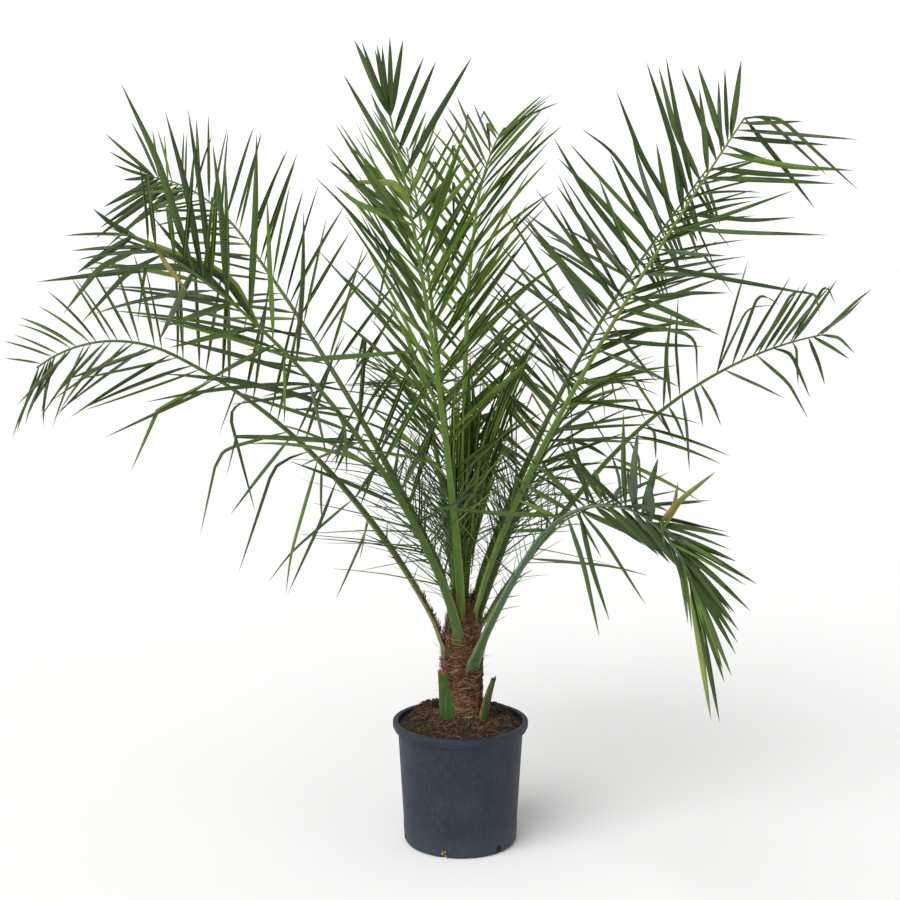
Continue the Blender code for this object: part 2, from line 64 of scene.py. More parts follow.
def hexColour(code):
    channels = [int(code[i:i + 2], 16) / 255 for i in (1, 3, 5)]
    linear = [c / 12.92 if c <= 0.04045 else ((c + 0.055) / 1.055) ** 2.4 for c in channels]
    return (*linear, 1.0)


def perMetre(millimetres):      # pattern scale for a feature of that size
    return 1000.0 / millimetres


def mix(a, b, t):
    return a + (b - a) * t


def along(table, t):            # value at t of rows (position, value)
    for (a, valueA), (b, valueB) in zip(table, table[1:]):
        if t <= b:
            return mix(valueA, valueB, (t - a) / (b - a))
    return table[-1][1]


def addNode(tree, kind, settings=None, links=None):
    node = tree.nodes.new(kind)
    for key, value in (settings or {}).items():
        if key == "stops":      # a colour ramp's positions and colours
            while len(node.color_ramp.elements) < len(value):
                node.color_ramp.elements.new(1.0)
            for element, (position, code) in zip(node.color_ramp.elements, value):
                element.position = position
                element.color = hexColour(code)
        elif isinstance(key, int) or key in node.inputs:
            node.inputs[key].default_value = value
        else:
            setattr(node, key, value)
    for key, source in (links or {}).items():
        tree.links.new(source, node.inputs[key])
    return node


def newMaterial(name, colour, roughness, ior=1.45):
    material = bpy.data.materials.new(name)
    material.use_nodes = True
    shader = material.node_tree.nodes["Principled BSDF"]
    shader.inputs["Base Color"].default_value = hexColour(colour)
    shader.inputs["Roughness"].default_value = roughness
    shader.inputs["IOR"].default_value = ior
    return material, material.node_tree, shader


def addPiece(name, points, faces, materials, slots=None, uvs=None, smooth=True, sharpAngle=40):
    mesh = bpy.data.meshes.new(name)
    mesh.from_pydata(points, [], faces)
    for material in materials:
        mesh.materials.append(material)
    if slots:
        mesh.polygons.foreach_set("material_index", slots)
    if uvs:
        layer = mesh.uv_layers.new(name="lengths")
        for loop in mesh.loops:
            layer.data[loop.index].uv = uvs[loop.vertex_index]
    mesh.update()
    piece = bpy.data.objects.new(name, mesh)
    bpy.context.scene.collection.objects.link(piece)
    if smooth:
        mesh.shade_smooth()
        mesh.set_sharp_from_angle(angle=math.radians(sharpAngle))
    return piece


def dress(piece, slotName, *nodes):
    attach(piece, "root")
    if nodes:
        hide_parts(*nodes)
    return piece


# Nursery pot: injection-moulded recycled polypropylene, slate grey, dull, with pale dust in streaks and
# low on its foot.
pot = dict(height=0.315, footRadius=0.142, corner=0.011, wallRadius=0.1585, rimRadius=0.1715,
           rimDepth=0.022, wall=0.003, steps=144, footBand=0.052, footSwell=0.0012,
           bandSoftness=0.0035, oval=0.0012, drains=6, firstDrain=252.0, drainRadius=0.008, drainTop=0.024,
           drainRoots=15)


def polypropylene():
    material, tree, shader = newMaterial("moulded polypropylene", "#262e3a", 0.56, 1.49)
    shader.inputs["Specular IOR Level"].default_value = 0.28        # scuffed and dusty, so little gloss
    place = addNode(tree, "ShaderNodeTexCoord").outputs["Object"]
    cloud = addNode(tree, "ShaderNodeTexNoise", {"Scale": perMetre(90), "Detail": 5.0, "Roughness": 0.6},
                    {"Vector": place})
    body = addNode(tree, "ShaderNodeValToRGB",
                   {"stops": [(0.30, "#1e2630"), (0.52, "#262e3a"), (0.75, "#2f3744")]},
                   {"Fac": cloud.outputs["Fac"]})
    streaks = addNode(tree, "ShaderNodeMapping", {"Scale": (1.0, 1.0, 0.35)}, {"Vector": place})
    wiped = addNode(tree, "ShaderNodeTexNoise", {"Scale": perMetre(9), "Detail": 6.0, "Roughness": 0.65},
                    {"Vector": streaks.outputs["Vector"]})
    dustAmount = addNode(tree, "ShaderNodeMapRange", {"From Min": 0.50, "From Max": 0.80, "To Max": 0.30},
                         {"Value": wiped.outputs["Fac"]})
    heights = addNode(tree, "ShaderNodeSeparateXYZ", {}, {"Vector": place})
    low = addNode(tree, "ShaderNodeMapRange", {"From Min": 0.075, "From Max": 0.0, "To Max": 0.30},
                  {"Value": heights.outputs["Z"]})
    dust = addNode(tree, "ShaderNodeMath", {"operation": "ADD", "use_clamp": True},
                   {0: dustAmount.outputs["Result"], 1: low.outputs["Result"]})
    dusty = addNode(tree, "ShaderNodeMix", {"data_type": "RGBA", 7: hexColour("#4a525e")},
                    {0: dust.outputs["Value"], 6: body.outputs["Color"]})
    specks = addNode(tree, "ShaderNodeTexVoronoi", {"Scale": perMetre(7), "Randomness": 1.0},
                     {"Vector": place})
    speck = addNode(tree, "ShaderNodeMapRange", {"From Min": 0.16, "From Max": 0.04, "To Max": 0.5},
                    {"Value": specks.outputs["Distance"]})
    spotted = addNode(tree, "ShaderNodeMix", {"data_type": "RGBA", 7: hexColour("#6a727e")},
                      {0: speck.outputs["Result"], 6: dusty.outputs[2]})
    tree.links.new(spotted.outputs[2], shader.inputs["Base Color"])
    grain = addNode(tree, "ShaderNodeTexNoise", {"Scale": perMetre(1.2), "Detail": 2.0}, {"Vector": place})
    matt = addNode(tree, "ShaderNodeMapRange", {"To Min": 0.46, "To Max": 0.70},
                   {"Value": wiped.outputs["Fac"]})
    tree.links.new(matt.outputs["Result"], shader.inputs["Roughness"])
    bump = addNode(tree, "ShaderNodeBump", {"Strength": 0.25, "Distance": 0.0004},
                   {"Height": grain.outputs["Fac"]})
    tree.links.new(bump.outputs["Normal"], shader.inputs["Normal"])
    return material


def potWall(z):                 # outside of the wall, with the swollen band round its foot
    straight = mix(pot["footRadius"], pot["wallRadius"],
                   (z - pot["corner"]) / (pot["height"] - pot["rimDepth"] - pot["corner"]))
    swell = pot["footSwell"] / (1 + math.exp((z - pot["footBand"]) / pot["bandSoftness"]))
    return straight + swell


def arc(centreR, centreZ, radius, fromAngle, toAngle, count=6):
    turn = [math.radians(mix(fromAngle, toAngle, i / (count - 1))) for i in range(count)]
    return [(centreR + radius * math.cos(a), centreZ + radius * math.sin(a)) for a in turn]


def potProfile():
    top, under, rim, wall = pot["height"], pot["height"] - pot["rimDepth"], pot["rimRadius"], pot["wall"]
    inner = potWall(top) - wall + 0.001
    profile = [(0.0, wall), (pot["footRadius"] - 0.012, wall)]
    profile += arc(pot["footRadius"] - 0.011, pot["corner"], pot["corner"] - wall, -80, -5)
    profile += [(potWall(z) - wall, z) for z in (0.03, 0.06, 0.15, 0.24, under)]
    profile += [(inner, top - 0.006)] + arc(inner + 0.0022, top - 0.0022, 0.0022, 180, 90, 5)
    profile += arc(rim - 0.0030, top - 0.0030, 0.0030, 90, 0, 6)
    profile += [(rim, top - 0.0125)] + arc(rim - 0.0012, top - 0.0128, 0.0012, 0, -90, 4)
    profile += [(rim - 0.0030, top - 0.0144), (rim - 0.0036, top - 0.0165), (rim - 0.0038, under + 0.0008)]
    profile += [(rim - 0.0046, under), (rim - 0.0066, under)]
    profile += [(rim - 0.0070, under + 0.0016), (potWall(under) + 0.0022, under + 0.0030)]
    profile += [(potWall(under) + 0.0006, under + 0.0010)]
    profile += [(potWall(z), z) for z in (under - 0.004, 0.26, 0.20, 0.14, 0.09, 0.07, 0.062, 0.057)]
    profile += [(potWall(z), z) for z in (0.053, 0.049, 0.044, 0.036, 0.026, 0.018)]
    foot = potWall(pot["corner"])
    profile += arc(foot - pot["corner"], pot["corner"], pot["corner"], 0, -90, 7)
    return profile + [(0.0, 0.0)]


def drainSlots():
    cutters = bpy.data.collections.new("drain slots")
    bpy.context.scene.collection.children.link(cutters)
    radius = pot["drainRadius"]
    centreZ = pot["drainTop"] - radius
    outline = arc(0.0, centreZ, radius, 0, 180, 13) + [(-radius, -0.01), (radius, -0.01)]
    for k in range(pot["drains"]):
        bm = bmesh.new()
        near = [bm.verts.new((pot["footRadius"] - 0.010, y, z)) for y, z in outline]
        grown = bmesh.ops.extrude_face_region(bm, geom=[bm.faces.new(near)])
        moved = [item for item in grown["geom"] if isinstance(item, bmesh.types.BMVert)]
        bmesh.ops.translate(bm, verts=moved, vec=(0.03, 0, 0))
        bmesh.ops.recalc_face_normals(bm, faces=bm.faces)
        mesh = bpy.data.meshes.new("drain")
        bm.to_mesh(mesh)
        bm.free()
        cutter = bpy.data.objects.new("drain", mesh)
        cutter.rotation_euler[2] = math.radians(pot["firstDrain"] + 360.0 * k / pot["drains"])
        cutters.objects.link(cutter)
    return cutters


def applyModifiers(piece):
    bpy.context.view_layer.update()
    depsgraph = bpy.context.evaluated_depsgraph_get()
    mesh = bpy.data.meshes.new_from_object(piece.evaluated_get(depsgraph))
    piece.modifiers.clear()
    piece.data = mesh


def makePot():
    profile = potProfile()
    steps = pot["steps"]
    points = []
    faces = []
    rings = []
    for r, z in profile:
        if r == 0.0:
            rings.append([len(points)])
            points.append((0.0, 0.0, z))
            continue
        rings.append(list(range(len(points), len(points) + steps)))
        for i in range(steps):
            a = 2 * math.pi * i / steps
            oval = 1 + pot["oval"] * math.cos(2 * a + 0.6)        # thin pots never stay quite round
            points.append((r * oval * math.cos(a), r * oval * math.sin(a), z))
    for low, high in zip(rings, rings[1:]):
        for i in range(steps):
            j = (i + 1) % steps
            if len(low) == 1:
                faces.append((low[0], high[j], high[i]))
            elif len(high) == 1:
                faces.append((low[i], low[j], high[0]))
            else:
                faces.append((low[i], low[j], high[j], high[i]))
    piece = addPiece("nursery_pot", points, faces, [polypropylene()])
    cutters = drainSlots()
    cut = piece.modifiers.new("Drains", "BOOLEAN")
    cut.operation = "DIFFERENCE"
    cut.operand_type = "COLLECTION"
    cut.collection = cutters
    applyModifiers(piece)
    for cutter in list(cutters.objects):
        bpy.data.objects.remove(cutter, do_unlink=True)
    bpy.data.collections.remove(cutters)
    piece.data.set_sharp_from_angle(angle=math.radians(35))
    dress(piece, "pot_plastic", "pot")
    print("pot:", len(piece.data.polygons), "faces")


# Potting soil: dark peat and bark crumbs, dull and rough, with straw, moss and root bits on it.
soil = dict(edgeZ=0.304, topZ=0.318, flatRadius=0.088, edgeRadius=0.1555, rings=46, steps=168,
            heap=0.017, heapFrom=0.054, heapWidth=0.019, fade=0.010,
            mounds=((-0.080, 0.088, 0.024, 0.0014), (0.090, 0.076, 0.021, 0.0012)),     # x, y, height, spread
            crumbs=900, crumbSize=(0.0012, 0.0042), crumbReach=(0.050, 0.150),
            lumps=46, lumpSize=(0.004, 0.009), lumpReach=(0.085, 0.132), lumpAside=(46, 13),
            straws=440, strawLength=(0.012, 0.050), strawRadius=(0.0004, 0.0010), strawEdge=0.150,
            mossReach=(0.055, 0.148),
            mossBlades=420, mossPatches=((-0.098, -0.052, 0.026, 5), (-0.070, -0.090, 0.016, 2),
                                         (0.096, -0.030, 0.030, 4), (0.070, -0.075, 0.018, 2),
                                         (-0.100, 0.030, 0.018, 1), (0.020, 0.115, 0.022, 2)),
            seed=3)


def peat():
    material, tree, shader = newMaterial("potting peat", "#33271a", 0.95)
    place = addNode(tree, "ShaderNodeTexCoord").outputs["Object"]
    crumb = addNode(tree, "ShaderNodeTexNoise", {"Scale": perMetre(5), "Detail": 8.0, "Roughness": 0.72},
                    {"Vector": place})
    tone = addNode(tree, "ShaderNodeValToRGB",
                   {"stops": [(0.34, "#170e08"), (0.48, "#2d1f14"), (0.60, "#44301f"), (0.74, "#664c30")]},
                   {"Fac": crumb.outputs["Fac"]})
    patch = addNode(tree, "ShaderNodeTexNoise", {"Scale": perMetre(40), "Detail": 3.0}, {"Vector": place})
    damp = addNode(tree, "ShaderNodeMapRange", {"From Min": 0.45, "From Max": 0.65, "To Max": 0.55},
                   {"Value": patch.outputs["Fac"]})
    soaked = addNode(tree, "ShaderNodeMix", {"data_type": "RGBA", 7: hexColour("#21160d")},
                     {0: damp.outputs["Result"], 6: tone.outputs["Color"]})
    tree.links.new(soaked.outputs[2], shader.inputs["Base Color"])
    bump = addNode(tree, "ShaderNodeBump", {"Strength": 0.9, "Distance": 0.0015},
                   {"Height": crumb.outputs["Fac"]})
    tree.links.new(bump.outputs["Normal"], shader.inputs["Normal"])
    return material


def fibreStuff(name, dark, pale, roughness=0.8):    # dry plant fibre: dull, streaked along its strands
    material, tree, shader = newMaterial(name, pale, roughness)
    place = addNode(tree, "ShaderNodeTexCoord").outputs["Object"]
    streak = addNode(tree, "ShaderNodeTexNoise", {"Scale": perMetre(14), "Detail": 4.0}, {"Vector": place})
    tone = addNode(tree, "ShaderNodeValToRGB", {"stops": [(0.35, dark), (0.65, pale)]},
                   {"Fac": streak.outputs["Fac"]})
    tree.links.new(tone.outputs["Color"], shader.inputs["Base Color"])
    return material


def soilHeight(x, y):
    r = math.hypot(x, y)
    beyond = max(0.0, (r - soil["flatRadius"]) / (soil["edgeRadius"] - soil["flatRadius"]))
    mound = mix(soil["topZ"], soil["edgeZ"], beyond ** 1.4)
    spot = Vector((x, y, 0.0))
    lumps = noise.noise(spot * perMetre(34)) * 0.0050 + noise.noise(spot * perMetre(13)) * 0.0034
    fine = noise.noise(spot * perMetre(5.5)) * 0.0016
    back = sum(height * math.exp(-((x - cx) ** 2 + (y - cy) ** 2) / spread)
               for cx, cy, height, spread in soil["mounds"])
    away = max(0.0, math.hypot(x - stem["x"], y) - soil["heapFrom"])
    heap = soil["heap"] * math.exp(-(away / soil["heapWidth"]) ** 2)        # heaped against the stem
    fade = min(1.0, (soil["edgeRadius"] - r) / soil["fade"])
    return mound + (lumps + fine + back) * max(0.0, fade) + heap - 0.001


def makeSoil():
    points = [(0.0, 0.0, soilHeight(0, 0))]
    faces = []
    rings, steps = soil["rings"], soil["steps"]
    profile = [(soil["edgeRadius"] * (k + 1) / rings, None) for k in range(rings)]
    inside = pot["wall"] + 0.0004
    profile += [(potWall(z) - pot["footSwell"] - inside, z) for z in (0.30, 0.22, 0.14, 0.07, 0.035)]
    profile += [(pot["footRadius"] - 0.004, 0.014), (pot["footRadius"] - 0.014, inside)]
    for r, z in profile:
        for i in range(steps):
            a = 2 * math.pi * i / steps
            x, y = r * math.cos(a), r * math.sin(a)
            points.append((x, y, soilHeight(x, y) if z is None else z))
    for k in range(len(profile)):
        for i in range(steps):
            j = (i + 1) % steps
            if k == 0:
                faces.append((0, 1 + i, 1 + j))
            else:
                low, high = 1 + (k - 1) * steps, 1 + k * steps
                faces.append((low + i, high + i, high + j, low + j))
    last = 1 + (len(profile) - 1) * steps
    faces.append(tuple(last + i for i in reversed(range(steps))))
    piece = addPiece("potting_soil", points, faces, [peat()])
    dress(piece, "potting_soil", "soil")
    print("soil:", len(faces), "faces")


def scatterSpot(draw, innerR, outerR):
    a = draw.uniform(0, 2 * math.pi)
    r = math.sqrt(draw.uniform(innerR ** 2, outerR ** 2))
    return r * math.cos(a), r * math.sin(a)


def makeCrumbs():
    draw = random.Random(soil["seed"])
    ball = bmesh.new()
    bmesh.ops.create_icosphere(ball, subdivisions=1, radius=1.0)
    shape = [v.co.copy() for v in ball.verts]
    shapeFaces = [tuple(v.index for v in f.verts) for f in ball.faces]
    ball.free()
    points, faces, slots = [], [], []
    for k in range(soil["crumbs"]):
        x, y = scatterSpot(draw, *soil["crumbReach"])
        size = draw.uniform(*soil["crumbSize"])
        if k < soil["lumps"]:           # big lumps pushed up behind the stem
            side = 1 if k % 2 else -1
            a = math.radians(90 + side * draw.gauss(*soil["lumpAside"]))
            r = draw.uniform(*soil["lumpReach"])
            x, y, size = r * math.cos(a), r * math.sin(a), draw.uniform(*soil["lumpSize"])
        angle = draw.uniform(0, 6.28)
        axis = Vector((draw.uniform(-1, 1), draw.uniform(-1, 1), 1)).normalized()
        turn = Matrix.Rotation(angle, 3, axis)
        squash = Vector((1.0, draw.uniform(0.6, 1.0), draw.uniform(0.45, 0.85)))
        centre = Vector((x, y, soilHeight(x, y) + size * 0.35))
        first = len(points)
        for corner in shape:
            bent = Vector(c * s for c, s in zip(corner, squash)) * size * draw.uniform(0.78, 1.15)
            points.append(centre + turn @ bent)
        faces += [tuple(first + i for i in face) for face in shapeFaces]
        slots += [0 if draw.random() < 0.8 else 1] * len(shapeFaces)
    crumbStuff = [peat(), fibreStuff("bark crumb", "#3a2415", "#6a4a2e", 0.9)]
    dress(addPiece("soil_crumbs", points, faces, crumbStuff, slots), "potting_soil")


def wallFaces(first, rings, sides):     # quads between rings of points that follow one another
    faces = []
    for i in range(rings - 1):
        low, high = first + i * sides, first + (i + 1) * sides
        for k in range(sides):
            m = (k + 1) % sides
            faces.append((low + k, low + m, high + m, high + k))
    return faces


def endFaces(first, rings, sides):
    last = first + (rings - 1) * sides
    return [tuple(first + k for k in reversed(range(sides))), tuple(last + k for k in range(sides))]


def addStrand(points, faces, path, radius, tip=0.35, sides=3):
    first = len(points)
    rings = len(path)
    previous = None
    for i, point in enumerate(path):
        ahead = path[min(i + 1, rings - 1)] - path[max(i - 1, 0)]
        ahead = ahead.normalized() if ahead.length > 1e-9 else up
        across = ahead.cross(up if abs(ahead.z) < 0.9 else Vector((1, 0, 0))).normalized()
        if previous and across.dot(previous) < 0:
            across = -across
        previous = across
        over = ahead.cross(across)
        size = radius * mix(1.0, tip, i / (rings - 1))
        for k in range(sides):
            a = 2 * math.pi * k / sides
            points.append(point + across * size * math.cos(a) + over * size * math.sin(a))
    strand = wallFaces(first, rings, sides) + endFaces(first, rings, sides)
    faces += strand
    return len(strand)


def makeStraw():
    draw = random.Random(soil["seed"] + 1)
    points, faces, slots = [], [], []
    for k in range(soil["straws"]):
        x, y = scatterSpot(draw, 0.052, 0.148 if k % 2 else 0.095)      # half of it near the stem
        heading = draw.uniform(0, 2 * math.pi)
        bend = draw.uniform(-2.4, 2.4)
        length = draw.uniform(*soil["strawLength"])
        hump = draw.uniform(0.0, 0.006)
        path = []
        for i in range(8):
            t = i / 7
            a = heading + bend * t
            x += math.cos(a) * length / 7
            y += math.sin(a) * length / 7
            if math.hypot(x, y) > soil["strawEdge"]:
                break
            path.append(Vector((x, y, soilHeight(x, y) + 0.0012 + hump * math.sin(math.pi * t))))
        if len(path) > 3:
            kind = draw.choices((0, 1, 2), (5, 3, 3))[0]
            slots += [kind] * addStrand(points, faces, path, draw.uniform(*soil["strawRadius"]))
    straw = [fibreStuff("dry straw", "#6a4f34", "#9a7c58"),
             fibreStuff("old root", "#4c3020", "#7c563a"),
             fibreStuff("dark root", "#2c1c12", "#4c3424")]
    dress(addPiece("soil_straw", points, faces, straw, slots), "potting_soil")


def makeMoss():
    draw = random.Random(soil["seed"] + 2)
    patches = soil["mossPatches"]       # x, y, spread, share of the blades
    shares = [patch[3] for patch in patches]
    inner, outer = soil["mossReach"]
    points, faces = [], []
    for k in range(soil["mossBlades"]):
        cx, cy, wide = draw.choices(patches, shares)[0][:3]
        x, y = draw.gauss(cx, wide * 0.6), draw.gauss(cy, wide * 0.6)
        if not inner < math.hypot(x, y) < outer:
            continue
        foot = Vector((x, y, soilHeight(x, y) - 0.0005))
        lean = Vector((draw.uniform(-1, 1), draw.uniform(-1, 1), draw.uniform(0.5, 1.2))).normalized()
        path = [foot, foot + lean * draw.uniform(0.002, 0.004), foot + lean * draw.uniform(0.005, 0.007)]
        addStrand(points, faces, path, draw.uniform(0.0004, 0.0008), 0.2)
    moss = fibreStuff("soil moss", "#33361a", "#5a5628", 0.9)
    dress(addPiece("soil_moss", points, faces, [moss]), "potting_soil")
    print("soil litter done")


def makeDrainRoots():           # what shows in the slots: pale roots in one, dark soil in the rest
    draw = random.Random(soil["seed"] + 3)
    points, faces, slots = [], [], []
    for k in range(pot["drains"]):
        a = math.radians(pot["firstDrain"] + 360.0 * k / pot["drains"])
        out = Vector((math.cos(a), math.sin(a), 0))
        aside = Vector((-math.sin(a), math.cos(a), 0))
        for n in range(pot["drainRoots"]):
            inward = draw.uniform(0.0035, 0.0060)
            centre = out * (pot["footRadius"] - inward) + aside * draw.uniform(-0.006, 0.006)
            centre.z = draw.uniform(0.004, pot["drainTop"] - 0.003)
            side = (aside * draw.uniform(-1, 1) + up * draw.uniform(-1, 1)).normalized()
            path = [centre + side * 0.0035 * (i - 1.5) + out * 0.001 * math.sin(i * 1.9 + n)
                    for i in range(4)]
            kind = 0 if k == 0 and n > 3 else 1
            slots += [kind] * addStrand(points, faces, path, draw.uniform(0.0012, 0.0024), 0.8, 5)
    roots = [fibreStuff("pale root", "#8a7440", "#c0a868"), fibreStuff("old root", "#3a281a", "#5c4530")]
    dress(addPiece("drain_roots", points, faces, roots, slots), "potting_soil")
    print("drain roots done")


# Stem: matted leaf-sheath fibre, woven crosswise, dull red-brown with pale dry strands and black frayed
# margins.
stem = dict(x=0.004, soilZ=0.3183, seatDepth=0.003, rows=110, steps=120,
            swell=0.0044, weave=0.0011, mat=0.0018,
            profile=((0.300, 0.0500), (0.3183, 0.0500), (0.335, 0.0475), (0.370, 0.0455), (0.430, 0.0465),
                     (0.475, 0.0465), (0.510, 0.0445), (0.540, 0.0405), (0.565, 0.0360), (0.590, 0.0310),
                     (0.610, 0.0260), (0.628, 0.0160), (0.636, 0.0020)),
            meanRadius=0.046, strands=1700, strandLength=(0.020, 0.080), strandFrom=0.325, strandRise=0.265,
            strandReach=(0.322, 0.606), nest=230, nestSpan=(40, 150), nestFrom=0.322, nestFloor=0.3205,
            ruff=420, ruffReach=(0.545, 0.628), ruffLength=(0.012, 0.042),
            hairs=46, hairReach=(0.40, 0.50), hairLength=(0.008, 0.034),
            margins=((352, 0.350, 0.575, 0.0080), (178, 0.455, 0.545, 0.0045), (96, 0.36, 0.56, 0.0060),
                     (232, 0.45, 0.56, 0.0030), (300, 0.50, 0.58, 0.0030)),     # azimuth, from, to, reach
            seed=5)


def stemRadius(z):
    return along(stem["profile"], z)


def onStem(azimuth, z, lift=0.0):
    a = math.radians(azimuth)
    r = stemRadius(z) + lift
    return Vector((stem["x"] + r * math.cos(a), r * math.sin(a), z))


def stemRelief(azimuth, z):     # overlapping sheaths, their slanting margins and the mat's weave
    a = math.radians(azimuth)
    ring = Vector((math.cos(a), math.sin(a), z * 16))
    swell = noise.noise(ring * 2.2) * stem["swell"]
    slant = azimuth / 360 * 13
    weave = 0.0
    for direction in (1, -1):
        phase = slant * direction * 3.1 + z * perMetre(17) + 1.5 * noise.noise(ring * 3.1)
        weave += abs(math.sin(phase * math.pi)) ** 3 * stem["weave"]
    return swell + weave + noise.noise(ring * 19) * 0.0008


def fibreMat():
    material, tree, shader = newMaterial("leaf sheath fibre mat", "#5b4330", 0.92)
    place = addNode(tree, "ShaderNodeTexCoord").outputs["Object"]
    coarse = addNode(tree, "ShaderNodeTexNoise", {"Scale": perMetre(26), "Detail": 5.0, "Roughness": 0.6},
                     {"Vector": place})
    tone = addNode(tree, "ShaderNodeValToRGB",
                   {"stops": [(0.30, "#22140c"), (0.46, "#452b1c"), (0.60, "#63442d"), (0.78, "#80603f")]},
                   {"Fac": coarse.outputs["Fac"]})
    previous = tone.outputs["Color"]
    for lean in (38, -38):      # crossed threads 3 mm apart, coarser than life so that they show
        turned = addNode(tree, "ShaderNodeMapping", {"Rotation": (0, math.radians(lean), 0)},
                         {"Vector": place})
        thread = addNode(tree, "ShaderNodeTexWave",
                         {"Scale": wavePeriod * perMetre(3.2), "bands_direction": "Z",
                          "Distortion": 3.0, "Detail": 3.0, "Detail Scale": 2.0},
                         {"Vector": turned.outputs["Vector"]})
        # near-black mixed into the gaps between the threads: painted shade in the weave's recesses
        threadGapShade = addNode(tree, "ShaderNodeMapRange", {"From Min": 0.30, "From Max": 0.02, "To Max": 0.42},
                      {"Value": thread.outputs["Fac"]})
        previous = addNode(tree, "ShaderNodeMix", {"data_type": "RGBA", 7: hexColour("#20140c")},
                           {0: threadGapShade.outputs["Result"], 6: previous}).outputs[2]
    tree.links.new(previous, shader.inputs["Base Color"])
    bump = addNode(tree, "ShaderNodeBump", {"Strength": 0.8, "Distance": 0.0012},
                   {"Height": coarse.outputs["Fac"]})
    tree.links.new(bump.outputs["Normal"], shader.inputs["Normal"])
    return material


def makeStem():
    rows, steps = stem["rows"], stem["steps"]
    bottom, top = stem["profile"][0][0], stem["profile"][-1][0]
    points = []
    for k in range(rows + 1):
        z = mix(bottom, top, (k / rows) ** 0.92)
        for i in range(steps):
            azimuth = 360 * i / steps
            fade = min(1.0, (top - z) / 0.03)
            points.append(onStem(azimuth, z, (stemRelief(azimuth, z) + stem["mat"]) * fade))
    faces = wallFaces(0, rows + 1, steps) + endFaces(0, rows + 1, steps)
    dress(addPiece("stem_mat", points, faces, [fibreMat()]), "stem_fibre", "stem")


def makeStrands():
    draw = random.Random(stem["seed"])
    lowest, highest = stem["strandReach"]
    points, faces, slots = [], [], []
    for k in range(stem["strands"]):        # tangled threads over the mat
        azimuth = draw.uniform(0, 360)
        z = stem["strandFrom"] + stem["strandRise"] * draw.random() ** 1.2
        heading = draw.uniform(0, 2 * math.pi)
        curl = draw.uniform(-2.6, 2.6)
        step = draw.uniform(*stem["strandLength"]) / 9
        lift = draw.uniform(0.0006, 0.0042)
        path = []
        for i in range(10):
            hump = lift * (0.4 + math.sin(math.pi * i / 9))
            path.append(onStem(azimuth, z, stemRelief(azimuth, z) + 0.0008 + hump))
            heading += curl / 9 + draw.uniform(-0.3, 0.3)
            azimuth += math.degrees(step * math.cos(heading) / stem["meanRadius"])
            z = min(max(z + step * math.sin(heading) * 0.8, lowest), highest)
        kind = draw.choices((0, 1, 2, 4), (4, 2.6, 2.2, 2.2))[0]
        slots += [kind] * addStrand(points, faces, path, draw.uniform(0.00035, 0.00085))
    for k in range(stem["nest"]):           # loose dry wisps wound round the foot and between the leaf bases
        azimuth = draw.uniform(0, 360)
        z = abs(draw.gauss(0, 0.055)) + stem["nestFrom"]
        span = draw.uniform(*stem["nestSpan"]) * draw.choice((-1, 1))
        slope = draw.uniform(-0.035, 0.030)
        lift = draw.uniform(0.002, 0.0085)
        path = []
        for i in range(11):
            t = i / 10
            wander = noise.noise(Vector((k * 1.3, t * 2.5, 4))) * 0.010
            height = max(stem["nestFloor"], z + slope * t + wander)
            hump = lift * (0.35 + 0.65 * math.sin(math.pi * t))
            path.append(onStem(azimuth + span * t, height, 0.001 + hump))
        kind = draw.choices((0, 1, 2), (3, 6, 1))[0]
        slots += [kind] * addStrand(points, faces, path, draw.uniform(0.0005, 0.0012))
    for k in range(stem["ruff"]):           # upright fibres torn off between the leaf bases
        azimuth = draw.uniform(0, 360)
        z = draw.uniform(*stem["ruffReach"])
        out = Vector((math.cos(math.radians(azimuth)), math.sin(math.radians(azimuth)), 0))
        side = Vector((-out.y, out.x, 0)) * draw.uniform(-0.35, 0.35)
        length = draw.uniform(*stem["ruffLength"])
        foot = onStem(azimuth, z, 0.001)
        path = [foot + (up + side) * length * t + out * draw.uniform(0.0, 0.0016) * (1 + 3 * t)
                for t in (0, 0.25, 0.5, 0.75, 1)]
        kind = draw.choices((0, 2, 4), (3, 5, 2))[0]
        slots += [kind] * addStrand(points, faces, path, draw.uniform(0.0005, 0.0011), 0.3)
    for k in range(stem["hairs"]):          # stray hairs, most on the left
        azimuth = draw.gauss(196, 26) if k % 2 else draw.uniform(0, 360)
        z = draw.uniform(*stem["hairReach"])
        foot = onStem(azimuth, z, 0.001)
        a = math.radians(azimuth)
        out = Vector((math.cos(a), math.sin(a), draw.uniform(-0.3, 0.8))).normalized()
        length = draw.uniform(*stem["hairLength"])
        sway = Vector((-out.y, out.x, -0.4)) * draw.uniform(-0.4, 0.4)
        path = [foot + out * length * t + sway * length * t * t for t in (0, 0.3, 0.6, 0.8, 1)]
        kind = draw.choice((0, 2, 3))
        slots += [kind] * addStrand(points, faces, path, draw.uniform(0.0003, 0.0006), 0.3)
    wisps = [fibreStuff("brown sheath thread", "#533523", "#805a3e"),
             fibreStuff("pale dry wisp", "#8c6c4a", "#bb9870"),
             fibreStuff("dark sheath thread", "#22150c", "#402a1a"),
             fibreStuff("grey hair", "#6c6860", "#9c988c"),
             fibreStuff("red sheath thread", "#5c3422", "#8a5538")]
    dress(addPiece("stem_strands", points, faces, wisps, slots), "stem_fibre")


